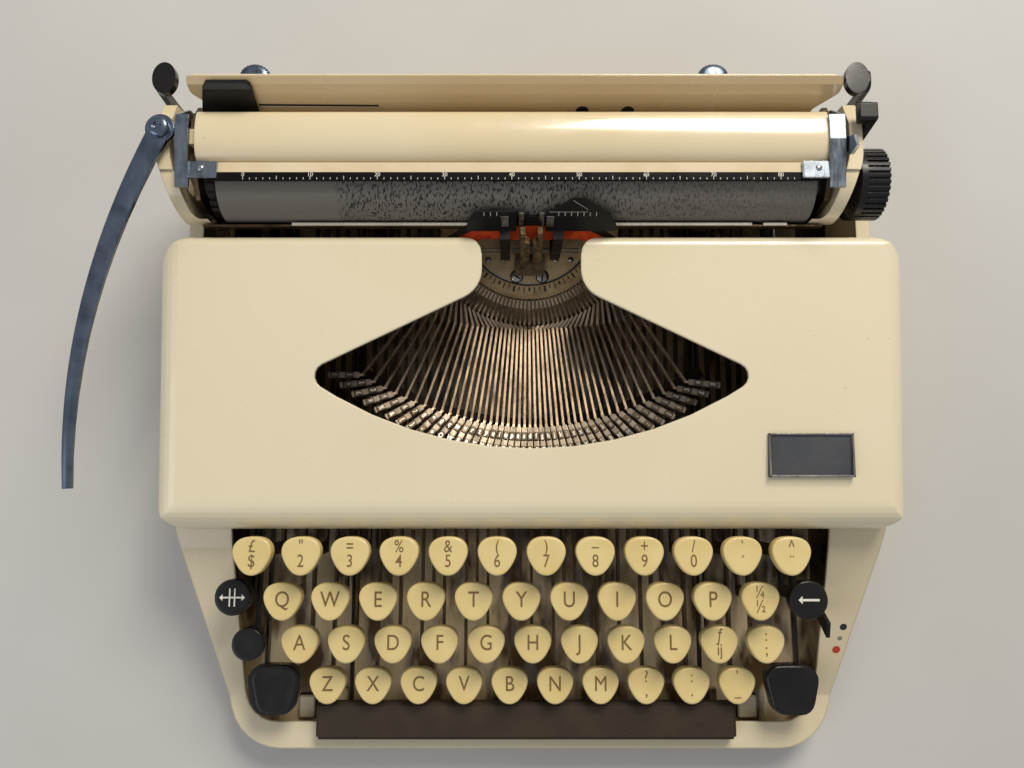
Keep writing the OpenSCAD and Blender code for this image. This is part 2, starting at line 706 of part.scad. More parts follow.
module drum_disc(x, d, w, y1) {
    color(steel) placed() difference() {
        union() {
            pin_y(y1 - w, y1, x, 27, d);
            pin_y(y1 - w - 1, y1 - w + e, x, 27, d - 6);
        }
        pin_y(y1 - w - 3, y1 + 1, x, 27, 4 + 2 * run_fit);
    }
}
module mainspring_drum() drum_disc(-100, 28, 5, 113.7);
module escapement_wheel() {
    color(steel) placed() difference() {
        pin_y(110, 113.7, 30, 27, 26);
        for (i = [0 : 29]) translate([30, 112, 27]) rotate([0, i * 12, 0]) translate([12.2, -4, 0])
            rotate([0, 30, 0]) cube([3, 8, 1.6]);
        pin_y(105, 116, 30, 27, 4 + 2 * run_fit);
    }
}

// ---------------------------------------------------------------- carriage

rail_x0 = end_x0 + 9;
rail_x1 = end_x1 - 9;
release_y = 122;
release_z = 52;
bail_y = 113;
bail_z = 76;
detent_y = 100;
detent_z = 80;
module carriage_frame() {
    color(steel) placed() difference() {
        union() {
            translate([end_x0, 98, under_z]) cube([end_x1 - end_x0, 20, 4]);
            // end plates that carry the platen, rollers and bail
            for (x = [plate_l, plate_r]) along_x(x, x + 2)
                polygon([[98, under_z], [118, under_z], [118, 78], [110, 84], [94, 84], [81, 76],
                         [79, 66], [79, 58.5], [77, 57], [77, 50.5], [98, 50.5]]);
            // paper apron wrapped round the platen's lower front
            along_x(plate_l + 1, plate_r + 1) polygon(concat(
                [for (a = [177 : 5 : 232]) [axis_y + (apron_r + 0.8) * cos(a), axis_z + (apron_r + 0.8) * sin(a)]],
                [for (a = [232 : -5 : 177]) [axis_y + apron_r * cos(a), axis_z + apron_r * sin(a)]]));
            pin_x(plate_l - 3.6, plate_l + 1, bail_y, bail_z, 3);
            pin_x(plate_r + 1, plate_r + 4, bail_y, bail_z, 3);
            pin_x(plate_r + 1, plate_r + 6, detent_y, detent_z, 3);
            // toothed margin rail behind the paper table
            translate([rail_x0, 134, 62]) cube([rail_x1 - rail_x0, 3, 6]);
            for (x = [rail_x0, rail_x1 - 6]) {
                translate([x, 118, 56]) cube([6, 19, 3]);
                translate([x, 118 - e, under_z]) cube([6, 2, 13]);
                translate([x, 134, 56]) cube([6, 3, 8]);
            }
            // bearings of the release bar
            for (x = [end_x0 + 1, end_x1 - 4]) translate([x, 118 - e, under_z]) cube([3, 8, 10]);
        }
        for (x = [plate_l, plate_r]) pin_x(x - 2, x + 4, axis_y, axis_z, spindle_d + 2 * run_fit);
        pin_x(end_x0 - 5, end_x1 + 5, release_y, release_z, 4 + 2 * run_fit);
        for (i = [0 : 84]) translate([rail_x0 + 9 + i * 2.85, 136, 61]) cube([1.3, 2, 8]);
    }
}

module cheek_band() {
    difference() {
        polygon(rounded([[0, 117.7], [0, 94], [7, 71], [16, 71], [16, 117.7]], [0, 24, 3, 0, 0]));
        polygon(rounded([[5, 119], [5, 96], [11, 74.5], [20, 74.5], [20, 119]], [0, 16, 3, 0, 0]));
    }
}
// Curved cheek of the carriage, wrapped round the platen's end
module carriage_end() {
    difference() {
        intersection() {
            translate([0, 0, under_z + 4]) linear_extrude(40) cheek_band();
            union() {
                pin_x(-5, 40, axis_y, axis_z, 2 * cheek_r);
                translate([-5, axis_y, under_z]) cube([50, 40, 40]);
            }
            along_x(-5, 40) polygon([[60, 40], [60, 86], [108, 86], [119, 80], [119, 40]]);
        }
        pin_x(-5, 40, axis_y, axis_z, spindle_d + 1);
    }
}
module carriage_ends() {
    color(cream) placed() {
        translate([end_x0, 0, 0]) carriage_end();
        translate([end_x1, 0, 0]) mirror([1, 0, 0]) carriage_end();
        // boss and pivot of the return lever, pivot of the paper release
        translate([return_root[0], return_root[1], 86 - e]) cylinder(d = 7, h = return_root[2] - 86.3);
        translate([return_root[0], return_root[1], 86])
            cylinder(d = return_pin_d, h = return_root[2] - 86 + 2.2);
        pin_x(end_x1 - e, end_x1 + 3.5, 106, 78, 3);
    }
}

table_x0 = plate_l + 1.7;
table_x1 = plate_r + 2.2;
module paper_table() {
    t = sheet;
    color(cream) placed() {
        intersection() {
            along_x(table_x0, table_x1) polygon([
                [108, 62], [114.5, 80], [119.5, 94], [122, 96], [122.5, 96 - t], [119.5 + t, 94 - t],
                [114.5 + t, 80 - t], [108 + t, 62 - t]]);
            along_y(100, 140) polygon(rounded([
                [table_x0, 97], [table_x1, 97], [table_x1, 90], [table_x1 - 8, 82], [table_x1 - 8, 60],
                [table_x0 + 8, 60], [table_x0 + 8, 82], [table_x0, 90]], [3, 3, 3, 4, 0, 0, 4, 3], 4));
        }
        for (x = [table_x0 + 20, table_x1 - 26])
            translate([x, 107, under_z + 4]) cube([6, 3, 12.5]);
    }
}

rest_x0 = plate_l + 3.6;
rest_x1 = plate_r - 2;
module paper_rest_plate() {
    t = sheet;
    color(cream) placed() {
        along_x(rest_x0, rest_x1) polygon([
            [110.6, 80], [112, 86.8], [111, 87.8], [107, 88.8], [102, 89.2], [97.5, 88.6], [94.5, 87.2],
            [92.6, 85], [92.6 + t, 84.6], [95.2, 86.2], [98, 87.4], [102, 89.2 - t], [106.6, 88.8 - t],
            [110.6, 86.4], [109.5, 80]]);
        // ears that stand on the end plates
        for (x = [plate_l + 1, rest_x1 - 1]) translate([x, 99, 84])
            cube([x < 0 ? rest_x0 - plate_l + e : plate_r + 2 - rest_x1, 6, 3.6]);
    }
}

module feed_rollers() {
    color(dark) placed() {
        for (y = [axis_y - 8.2, axis_y + 8.2]) {
            pin_x(plate_l + 2, plate_r, y, 53, 3);
            for (k = [0 : 3]) pin_x(platen_x0 + 20 + k * 55, platen_x0 + 45 + k * 55, y, 53, 5.5);
        }
    }
}

module platen() {
    color([0.35, 0.36, 0.38]) placed() {
        pin_x(platen_x0, platen_x1, axis_y, axis_z, platen_d);
        pin_x(plate_l - 1, platen_x0 + 1, axis_y, axis_z, spindle_d);
        pin_x(platen_x1 - 1, end_x1 + 0.5, axis_y, axis_z, spindle_d);
    }
}
module platen_knob() {
    color(dark) placed() difference() {
        pin_x(end_x1 + 0.5, end_x1 + 0.5 + knob_w, axis_y, axis_z, knob_d);
        for (i = [0 : 35]) translate([0, axis_y, axis_z]) rotate([i * 10, 0, 0])
            translate([end_x1 + 3, knob_d / 2 - 0.8, -0.5]) cube([knob_w, 2, 1]);
    }
}
module ratchet_wheel() {
    color(steel) placed() difference() {
        pin_x(platen_x0 - 4, platen_x0 - 1, axis_y, axis_z, 26);
        for (i = [0 : 23]) translate([0, axis_y, axis_z]) rotate([i * 15, 0, 0])
            translate([platen_x0 - 5, 12, -0.6]) cube([5, 3, 1.2]);
        pin_x(platen_x0 - 5, platen_x0, axis_y, axis_z, spindle_d);
    }
}

// Paper bail: a scale bar across the platen on two arms that hinge at the rear
ear_l = plate_l - 3.4;
ear_r = plate_r + 2.4;
ear_t = 1.4;
band_w = 5;
module paper_bail() {
    color(chrome) placed() difference() {
        union() {
            // ears on the pivots
            for (x = [ear_l, ear_r]) along_x(x, x + ear_t) polygon([
                [bail_y - 3, bail_z - 3], [bail_y + 3, bail_z - 3], [bail_y + 3, bail_z + 4],
                [109.5, 90.6], [103, 90.6], [104, 86]]);
            // flat bands forward over the rest plate, with tongues that hold the scale
            translate([ear_l, 0, 0]) bail_band(0, 10.5);
            translate([ear_r + ear_t - band_w - 1, 0, 0]) bail_band(-4, 4);
        }
        pin_x(-200, 200, bail_y, bail_z, 3 + 2 * run_fit);
    }
}
module bail_band(inner, tongue) {
    w = band_w + (inner < 0 ? 1 : 0);
    along_x(0, w) polygon([[82, 87], [84, 87.2], [100, 89.4], [109.5, 89.4], [109.5, 90.6], [100, 90.6],
                           [84, 88.4], [82, 88.2]]);
    translate([inner < 0 ? -tongue : 0, 85.5, 87]) cube([w + tongue, 6.5, 1.3]);
}
module bail_scale() {
    color(dark) placed() translate([ear_l + 12, 85, 86]) cube([ear_r - ear_l - 20, 7, 1]);
}

// Return lever: long flat strip that stands out to the left of the carriage
module return_lever() {
    root = [return_root[0], return_root[1]];
    color(chrome) placed() translate([0, 0, return_root[2]]) difference() {
        union() {
            translate(root) cylinder(d = return_w + 3, h = return_t);
            linear_extrude(return_t) polygon(return_outline());
        }
        translate(concat(root, -1)) cylinder(d = return_pin_d + 2 * run_fit, h = return_t + 2);
    }
}
function return_outline() =
    let (root = [return_root[0], return_root[1]],
         tip = root - return_l * [sin(return_a), cos(return_a)])
    strip_outline(root - [0, 1], (root + tip) / 2 - [return_bow, 0], tip, return_w / 2, return_end_w / 2);
function bezier(a, b, c, t) = a * pow(1 - t, 2) + b * 2 * t * (1 - t) + c * pow(t, 2);
// Outline of a strip along a curve, h wide at its root and h1 at its tip on each side
function strip_outline(a, b, c, h, h1) = let (n = 12,
    p = [for (i = [0 : n]) bezier(a, b, c, i / n)],
    d = [for (i = [0 : n]) let (v = p[min(n, i + 1)] - p[max(0, i - 1)]) unitv([-v[1], v[0]])])
    concat([for (i = [0 : n]) p[i] + d[i] * (h + (h1 - h) * i / n)],
           [for (i = [n : -1 : 0]) p[i] - d[i] * (h + (h1 - h) * i / n)]);

module paper_release_lever() {
    color(dark) placed() difference() {
        union() {
            along_x(end_x1 + 0.6, end_x1 + 3)
                polygon(rounded([[103, 75], [109, 75], [113.5, 93.5], [106.5, 93.5]], [2, 2, 1, 1], 3));
            // finger tab bent in over the cheek
            along_x(end_x1 - 3.5, end_x1 + 1)
                polygon(rounded([[105.6, 89], [113, 89], [113.5, 93.5], [106.5, 93.5]], [1, 1, 1, 1], 3));
        }
        pin_x(end_x1, end_x1 + 4, 106, 78, 3 + 2 * run_fit);
    }
}
module carriage_release_bar() {
    color(dark) placed() {
        pin_x(end_x0 - 3, end_x1 + 5, release_y, release_z, 4);
        for (x = [end_x0 - 3, end_x1 + 3.4]) along_x(x, x + 2)
            polygon(rounded([[119, 51], [124.5, 51], [126, 72], [131.5, 77], [131.5, 84], [123.3, 84], [122, 74]],
                            [2, 2, 0, 3, 3, 3, 0], 3));
        // oval finger knobs
        for (x = [end_x0 - 3.4, end_x1 - 3.8]) translate([x + 4, 127.4, 81]) linear_extrude(3) scale([0.73, 1])
            circle(d = 12.7);
    }
}
module margin_stop(x) {
    color([0.2, 0.25, 0.35]) placed() difference() {
        translate([x - 6, 131, 60]) cube([12, 9.5, 11]);
        translate([x - 7, 133.8, 61.8]) cube([14, 3.4, 6.4]);
    }
}
module margin_stop_left() margin_stop(-112);
module margin_stop_right() margin_stop(74);

guide_x = table_x0 + 5;
module paper_guide() {
    color(dark) placed() along_x(guide_x, guide_x + 21.5) polygon([
        [113.9, 80.2], [119, 94.5], [118, 94.9], [112.9, 80.6], [112, 77.6], [113, 77.3]]);
}
module detent_lever() {
    color(chrome) placed() difference() {
        along_x(plate_r + 4.4, plate_r + 5.6) polygon([[98, 76], [102, 76], [102, 87], [99, 96], [94, 98],
                                                     [93, 92], [98, 86]]);
        pin_x(plate_r + 4, plate_r + 7, detent_y, detent_z, 3 + 2 * run_fit);
    }
}

base_shell();
rubber_feet();
top_cover();
badge_plate();
main_frame();
key_lever_shaft();
key_comb();
carriage_rail();
ribbon_runs();
card_holders();
bell();
type_segment();
segment_plate();
typebars();
typebar_rest();
type_guide();
moving_typebar();
ribbon_vibrator();
ribbon_span();
ribbon_spool_left();
ribbon_spool_right();
ribbon_selector();
space_bar();
shift_keys();
shift_lock_key();
margin_release_key();
backspace_key();
number_row_keys();
upper_row_keys();
lower_row_keys();
for (k = [1 : 11]) home_key(k);
mainspring_drum();
escapement_wheel();
carriage_frame();
carriage_ends();
paper_table();
paper_rest_plate();
feed_rollers();
platen();
platen_knob();
ratchet_wheel();
paper_bail();
bail_scale();
return_lever();
paper_release_lever();
carriage_release_bar();
margin_stop_left();
margin_stop_right();
paper_guide();
detent_lever();
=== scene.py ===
"""Looks of an ultra-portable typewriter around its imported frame.

Lengths are metres where nothing else is said; numbers times MM are millimetres. Heights and
depths are the machine's own, and widths are counted from the machine's middle.
"""
import math

import bmesh
import bpy
from mathutils import Matrix, Vector


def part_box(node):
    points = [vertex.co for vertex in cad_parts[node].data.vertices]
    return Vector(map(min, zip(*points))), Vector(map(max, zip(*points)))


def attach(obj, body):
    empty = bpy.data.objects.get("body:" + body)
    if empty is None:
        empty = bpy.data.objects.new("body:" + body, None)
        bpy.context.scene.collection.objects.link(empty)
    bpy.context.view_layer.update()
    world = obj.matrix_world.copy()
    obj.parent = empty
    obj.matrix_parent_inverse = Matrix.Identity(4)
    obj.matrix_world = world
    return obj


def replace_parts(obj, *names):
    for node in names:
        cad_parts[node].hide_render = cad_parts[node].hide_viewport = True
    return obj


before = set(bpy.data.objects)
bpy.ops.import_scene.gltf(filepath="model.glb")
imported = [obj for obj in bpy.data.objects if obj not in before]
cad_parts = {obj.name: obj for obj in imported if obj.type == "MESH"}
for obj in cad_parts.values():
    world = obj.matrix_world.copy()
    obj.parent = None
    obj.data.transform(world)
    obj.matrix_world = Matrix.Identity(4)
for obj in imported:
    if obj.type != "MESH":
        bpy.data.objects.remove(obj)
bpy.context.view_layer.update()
MM = 0.001
plate_low, plate_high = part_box("segment_plate")
middle = (plate_low.x + plate_high.x) / 2


# ------------------------------------------------------------------ materials

def rgb(red, green, blue):
    """Linear colour of an sRGB one that is given in 0 to 255."""
    def linear(value):
        value /= 255
        return value / 12.92 if value <= 0.04045 else ((value + 0.055) / 1.055) ** 2.4
    return (linear(red), linear(green), linear(blue), 1)


class Finish:
    """A principled material with small helpers for its procedural detail."""

    # sockets of the Mix node where it blends colours
    MIX_FACTOR, MIX_FIRST, MIX_SECOND, MIX_RESULT = 0, 6, 7, 2

    def __init__(self, name, colour, roughness=0.4, metallic=0.0, coat=0.0, edge=0.4, shine=0.5):
        """The edge is the radius in mm at which corners catch the light."""
        self.material = bpy.data.materials.new(name)
        self.material.use_nodes = True
        self.tree = self.material.node_tree
        self.shader = self.tree.nodes["Principled BSDF"]
        self.shader.inputs["Base Color"].default_value = colour
        self.shader.inputs["Roughness"].default_value = roughness
        self.shader.inputs["Metallic"].default_value = metallic
        self.shader.inputs["Coat Weight"].default_value = coat
        self.shader.inputs["Coat Roughness"].default_value = 0.08
        self.shader.inputs["Specular IOR Level"].default_value = shine
        self.base = colour
        self.colour = None
        self.place = self.add("ShaderNodeTexCoord").outputs["Object"]
        rounding = self.add("ShaderNodeBevel", samples=4)
        rounding.inputs["Radius"].default_value = edge * MM
        self.normal = rounding.outputs["Normal"]
        self.link(self.normal, self.shader.inputs["Normal"])

    def add(self, kind, **values):
        """A new node with its properties set."""
        node = self.tree.nodes.new(kind)
        for key, value in values.items():
            setattr(node, key, value)
        return node

    def link(self, output, socket):
        self.tree.links.new(output, socket)

    def stretched(self, scale):
        """Object coordinates, scaled along each axis."""
        mapping = self.add("ShaderNodeMapping")
        mapping.inputs["Scale"].default_value = scale
        self.link(self.place, mapping.inputs["Vector"])
        return mapping.outputs["Vector"]

    def noise(self, scale, detail=3.0, stretch=(1, 1, 1)):
        """Noise whose features are about 1/scale metres across."""
        node = self.add("ShaderNodeTexNoise")
        node.inputs["Scale"].default_value = scale
        node.inputs["Detail"].default_value = detail
        self.link(self.stretched(stretch), node.inputs["Vector"])
        return node.outputs["Fac"]

    def ramp(self, value, low, high, start=0.0, end=1.0):
        """Runs from start to end while the value runs from low to high."""
        node = self.add("ShaderNodeMapRange")
        node.inputs["From Min"].default_value = low
        node.inputs["From Max"].default_value = high
        node.inputs["To Min"].default_value = start
        node.inputs["To Max"].default_value = end
        self.link(value, node.inputs["Value"])
        return node.outputs["Result"]

    def axis(self, letter):
        """One of the object coordinates."""
        node = self.add("ShaderNodeSeparateXYZ")
        self.link(self.place, node.inputs["Vector"])
        return node.outputs[letter]

    def upward(self):
        """How far a face looks upwards, up to 1."""
        node = self.add("ShaderNodeSeparateXYZ")
        self.link(self.add("ShaderNodeNewGeometry").outputs["True Normal"], node.inputs["Vector"])
        return node.outputs["Z"]

    def times(self, first, second):
        """Product of two factors."""
        node = self.add("ShaderNodeMath", operation="MULTIPLY")
        self.link(first, node.inputs[0])
        self.link(second, node.inputs[1])
        return node.outputs["Value"]

    def tint(self, colour, amount):
        """Blends the base colour towards another one by a factor."""
        node = self.add("ShaderNodeMix", data_type="RGBA")
        self.link(amount, node.inputs[self.MIX_FACTOR])
        if self.colour is None:
            node.inputs[self.MIX_FIRST].default_value = self.base
        else:
            self.link(self.colour, node.inputs[self.MIX_FIRST])
        node.inputs[self.MIX_SECOND].default_value = colour
        self.colour = node.outputs[self.MIX_RESULT]
        self.link(self.colour, self.shader.inputs["Base Color"])
        return self

    def gloss(self, value, low, high):
        """Roughness runs from low to high with a factor."""
        self.link(self.ramp(value, 0.3, 0.7, low, high), self.shader.inputs["Roughness"])
        return self

    def bump(self, height, depth, strength=1.0):
        """Relief of a depth in mm."""
        node = self.add("ShaderNodeBump")
        node.inputs["Strength"].default_value = strength
        node.inputs["Distance"].default_value = depth * MM
        self.link(height, node.inputs["Height"])
        self.link(self.normal, node.inputs["Normal"])
        self.normal = node.outputs["Normal"]
        self.link(self.normal, self.shader.inputs["Normal"])
        return self


def enamel(name, colour, aged, edge):
    """Glossy stoved enamel: faint orange peel, soft yellowing, a few chips and specks."""
    paint = Finish(name, colour, roughness=0.2, coat=0.6, edge=edge)
    paint.tint(aged, paint.ramp(paint.noise(9, 2), 0.42, 0.75, 0, 0.55))
    paint.tint(rgb(120, 98, 64), paint.ramp(paint.noise(640, 1), 0.8, 0.83, 0, 0.5))
    paint.gloss(paint.noise(60), 0.16, 0.3)
    return paint.bump(paint.noise(700, 1), 0.03, 0.5)


def metal(name, colour, roughness, dirt, scratches=900, edge=0.15, metallic=1.0):
    """Plated or bare metal with fine scratches and dull patches."""
    plate = Finish(name, colour, metallic=metallic, roughness=roughness, edge=edge)
    plate.tint(dirt, plate.ramp(plate.noise(120, 4), 0.45, 0.8, 0, 0.75))
    plate.gloss(plate.noise(scratches, 2, (1, 0.12, 1)), roughness * 0.7, roughness * 1.6)
    return plate.bump(plate.noise(scratches, 2, (1, 0.1, 1)), 0.02, 0.6)


def plastic(name, colour, roughness, mottle, grain=0.0, edge=0.5, coat=0.1, shine=0.5):
    """Moulded plastic with slight mottling and hand-worn gloss; the grain's depth is in mm."""
    resin = Finish(name, colour, roughness=roughness, coat=coat, edge=edge, shine=shine)
    resin.tint(mottle, resin.ramp(resin.noise(70, 3), 0.4, 0.75, 0, 0.6))
    resin.gloss(resin.noise(200), roughness * 0.75, roughness * 1.25)
    if grain:
        resin.bump(resin.noise(1500, 2), grain, 0.9)
    return resin


def tape(name, colour, roughness):
    """Inked ribbon cloth with its fine weave."""
    cloth = Finish(name, colour, roughness=roughness, edge=0.05, shine=0.2)
    return cloth.bump(cloth.noise(4000, 1, (1, 1, 0.4)), 0.05, 0.8)


def worn_tape(name, colour, worn, roughness):
    """Ribbon cloth whose ink has gone in patches."""
    cloth = tape(name, colour, roughness)
    return cloth.tint(worn, cloth.ramp(cloth.noise(300), 0.4, 0.7))


def tarnished_bronze():
    """Stained bronze of the segment, in broad clouds and fine specks."""
    bronze = Finish("tarnished_bronze", rgb(200, 170, 122), roughness=0.42, metallic=0.2, edge=0.15)
    bronze.tint(rgb(160, 128, 82), bronze.ramp(bronze.noise(160, 5), 0.42, 0.72, 0, 0.8))
    bronze.tint(rgb(80, 58, 34), bronze.ramp(bronze.noise(900, 3), 0.6, 0.75, 0, 0.7))
    return bronze.bump(bronze.noise(1400, 3), 0.04, 0.6)


def cast_bronze():
    """Darker bronze of the type guide."""
    bronze = Finish("guide_bronze", rgb(122, 98, 62), roughness=0.45, metallic=0.3, edge=0.2)
    bronze.tint(rgb(74, 54, 30), bronze.ramp(bronze.noise(500, 4), 0.42, 0.66))
    return bronze.bump(bronze.noise(1800, 3), 0.05, 0.7)


def beaten_rubber():
    """Platen rubber: fine streaks, and dents where the type has struck it, most at the left."""
    skin = Finish("platen_rubber", rgb(120, 114, 105), roughness=0.6, edge=0.5, shine=0.35)
    dents = skin.noise(1500, 5, (1, 0.4, 0.4))
    across = skin.axis("X")
    struck = skin.times(skin.ramp(across, middle - 76 * MM, middle - 73 * MM),
                        skin.ramp(across, middle + 10 * MM, middle + 95 * MM, 1, 0.25))
    skin.tint(rgb(134, 128, 118), skin.ramp(skin.noise(900, 3, (0.08, 1, 1)), 0.5, 0.75, 0, 0.5))
    skin.tint(rgb(44, 39, 34), skin.times(skin.ramp(dents, 0.5, 0.6), struck))
    return skin.bump(dents, 0.06, 0.5)


def grimy_tub():
    """The tub's enamel, warmer on the floor between the key levers, with dark patches there that are
    painted shade of the levers.
    """
    floor_top = 16 * MM
    paint = enamel("tub_enamel", rgb(226, 211, 178), rgb(212, 194, 152), 1.2)
    sunken = paint.times(paint.ramp(paint.axis("Z"), floor_top - 1 * MM, floor_top, 1, 0),
                         paint.ramp(paint.upward(), 0.4, 0.6))
    paint.tint(rgb(246, 220, 172), sunken)
    # dark brown patches on the floor: painted shade cast by the key levers
    lever_shade = paint.ramp(paint.noise(70, 3, (1, 0.35, 1)), 0.46, 0.58)
    return paint.tint(rgb(104, 82, 52), paint.times(sunken, lever_shade))


def scale_enamel():
    """The bail scale: a black front with a cream stripe behind it."""
    low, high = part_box("bail_scale")
    depth = high.y - low.y
    seam = low.y + 0.45 * depth
    paint = plastic("bail_enamel", rgb(226, 208, 174), 0.5, rgb(208, 188, 148), coat=0.0, shine=0.1)
    front = paint.ramp(paint.axis("Y"), seam, seam + 0.01 * depth, 1, 0)
    return paint.tint(rgb(16, 14, 12), front)


INK_BLACK = rgb(30, 24, 22)
INK_RED = rgb(226, 82, 36)
casing_paint = enamel("casing_enamel", rgb(236, 223, 190), rgb(226, 209, 166), 1.2)
tub_paint = grimy_tub()
carriage_paint = enamel("carriage_enamel", rgb(230, 213, 176), rgb(214, 190, 136), 0.5)
table_paint = enamel("paper_table_enamel", rgb(222, 194, 148), rgb(200, 164, 104), 0.5)
scale_paint = scale_enamel()
cap_cream = plastic("keycap_cream", rgb(229, 206, 142), 0.34, rgb(214, 186, 116), coat=0.2, edge=0.4)
black_gloss = plastic("black_gloss", rgb(20, 18, 17), 0.28, rgb(34, 30, 26), coat=0.15, shine=0.35)
black_metal = plastic("black_enamel", rgb(16, 14, 12), 0.45, rgb(34, 28, 22), coat=0.0, shine=0.3)
guide_fold = plastic("guide_fold_enamel", rgb(46, 51, 53), 0.4, rgb(70, 72, 70), shine=0.4)
bar_brown = plastic("space_bar_plastic", rgb(54, 43, 29), 0.55, rgb(68, 55, 38), 0.3, coat=0.0, shine=0.35)
rubber = plastic("foot_rubber", rgb(28, 27, 26), 0.8, rgb(40, 38, 36), 0.1)
felt = plastic("felt", rgb(42, 30, 22), 0.95, rgb(28, 20, 16), 0.2, shine=0.1)
badge_face = plastic("badge_face", rgb(66, 68, 72), 0.5, rgb(82, 82, 82), 0.08)
ink_brown = Finish("legend_ink", rgb(122, 94, 54), roughness=0.6)
ink_white = Finish("scale_ink", rgb(232, 226, 212), roughness=0.5)
# dark brown for painted shade in a groove, a slot, engraved strokes and round the space bar's pads
recess_shade = Finish("engraved_shade", rgb(52, 38, 22), roughness=0.7)
chrome = metal("chrome", rgb(200, 203, 208), 0.16, rgb(120, 124, 130))
bail_chrome = metal("bail_chrome", rgb(150, 158, 166), 0.24, rgb(52, 60, 66))
lever_chrome = metal("lever_chrome", rgb(122, 134, 150), 0.2, rgb(66, 74, 84), 300, 0.6)
steel = metal("nickelled_steel", rgb(168, 164, 156), 0.28, rgb(96, 82, 62))
bar_steel = metal("typebar_steel", rgb(190, 166, 138), 0.24, rgb(112, 88, 62), 600, metallic=0.7)
slug_steel = metal("slug_steel", rgb(158, 144, 126), 0.36, rgb(80, 66, 52), 500, metallic=0.8)
slug_dirt = metal("type_face_dirt", rgb(112, 98, 80), 0.42, rgb(58, 46, 34), 500)
type_steel = metal("type_face_steel", rgb(208, 200, 188), 0.3, rgb(130, 116, 98), 500)
# near-white strip colour for a painted highlight line along the carriage's lip
highlight_strip_paint = metal("highlight_strip_paint", rgb(236, 226, 204), 0.3, rgb(206, 190, 160), metallic=0.2)
dark_steel = metal("blackened_steel", rgb(112, 94, 72), 0.4, rgb(48, 38, 26))
blue_steel = metal("blued_steel", rgb(108, 118, 134), 0.32, rgb(50, 56, 66))
segment_bronze = tarnished_bronze()
guide_bronze = cast_bronze()
ribbon_red = worn_tape("ribbon_cloth", INK_RED, rgb(170, 50, 24), 0.85)
ribbon_black = worn_tape("ribbon_cloth_black", INK_BLACK, rgb(48, 34, 28), 0.9)
platen_rubber = beaten_rubber()

HOME_KEYS = [f"home_key_{number}" for number in range(1, 12)]
FINISHES = {
    casing_paint: ["top_cover"],
    tub_paint: ["base_shell"],
    carriage_paint: ["carriage_ends", "paper_rest_plate"],
    table_paint: ["paper_table"],
    scale_paint: ["bail_scale"],
    badge_face: ["badge_plate"],
    rubber: ["rubber_feet", "feed_rollers"],
    felt: ["typebar_rest"],
    black_gloss: ["platen_knob", "carriage_release_bar", "paper_release_lever", "margin_release_key",
                  "shift_lock_key", "backspace_key", "shift_keys"],
    black_metal: ["card_holders", "paper_guide", "ribbon_selector", "ratchet_wheel"],
    bar_brown: ["space_bar"],
    chrome: ["bell", "detent_lever", "key_lever_shaft"],
    bail_chrome: ["paper_bail"],
    lever_chrome: ["return_lever"],
    steel: ["ribbon_spool_left", "ribbon_spool_right", "mainspring_drum", "escapement_wheel",
            "ribbon_vibrator"],
    bar_steel: ["typebars", "moving_typebar"],
    dark_steel: ["main_frame", "key_comb", "carriage_rail", "carriage_frame", "number_row_keys",
                 "upper_row_keys", "lower_row_keys", *HOME_KEYS],
    segment_bronze: ["type_segment", "segment_plate"],
    guide_bronze: ["type_guide"],
    blue_steel: ["margin_stop_left", "margin_stop_right"],
    ribbon_red: ["ribbon_runs"],
    platen_rubber: ["platen"],
}


def dress(node, finish):
    """Gives a CAD node one finish in all its material slots."""
    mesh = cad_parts[node].data
    if not mesh.materials:
        mesh.materials.append(finish.material)
    for index in range(len(mesh.materials)):
        mesh.materials[index] = finish.material


for finish, nodes in FINISHES.items():
    for node in nodes:
        dress(node, finish)


# ------------------------------------------------------------------ mesh helpers

SHARP = math.radians(38)


def piece(name, mesh_data, finish, body):
    """Puts a bmesh into the scene as a smooth piece that rides on a body."""
    mesh = bpy.data.meshes.new(name)
    bmesh.ops.recalc_face_normals(mesh_data, faces=mesh_data.faces)
    mesh_data.to_mesh(mesh)
    mesh_data.free()
    mesh.materials.append(finish.material)
    thing = bpy.data.objects.new(name, mesh)
    bpy.context.collection.objects.link(thing)
    mesh.shade_smooth()
    mesh.set_sharp_from_angle(angle=SHARP)
    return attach(thing, body)


def join(parts):
    """One bmesh from several."""
    whole = bmesh.new()
    for part in parts:
        mesh = bpy.data.meshes.new("part")
        part.to_mesh(mesh)
        part.free()
        whole.from_mesh(mesh)
        bpy.data.meshes.remove(mesh)
    return whole


def moved(bm, matrix):
    """The same bmesh, set elsewhere."""
    bmesh.ops.transform(bm, matrix=matrix, verts=bm.verts)
    return bm


def loft(bm, rings):
    """Skins rings of points that all have the same count, and caps both ends."""
    rows = [[bm.verts.new(point) for point in ring] for ring in rings]
    count = len(rows[0])
    for low, high in zip(rows, rows[1:]):
        for i in range(count):
            j = (i + 1) % count
            bm.faces.new((low[i], low[j], high[j], high[i]))
    bm.faces.new(rows[0][::-1])
    bm.faces.new(rows[-1])


def along_x(bm, profile, stations):
    """Pushes a closed profile of (y, z) points along X."""
    loft(bm, [[(x, y, z) for y, z in profile] for x in stations])


def circle(radius, z, sides, x=0.0, y=0.0):
    """Points of a level circle."""
    turns = [2 * math.pi * i / sides for i in range(sides)]
    return [(x + radius * math.cos(turn), y + radius * math.sin(turn), z) for turn in turns]


def rectangle(x0, y0, x1, y1):
    return [(x0, y0), (x1, y0), (x1, y1), (x0, y1)]


def flat_shape(bm, points, z):
    """Adds one level face."""
    bm.faces.new([bm.verts.new((x, y, z)) for x, y in points])


def rounded_box(centre, size, bevel, segments):
    """A box with rounded edges."""
    bm = bmesh.new()
    bmesh.ops.create_cube(bm, size=1)
    bmesh.ops.scale(bm, vec=size, verts=bm.verts)
    bmesh.ops.translate(bm, vec=centre, verts=bm.verts)
    bmesh.ops.bevel(bm, geom=bm.edges[:], offset=bevel, segments=segments, affect="EDGES")
    return bm


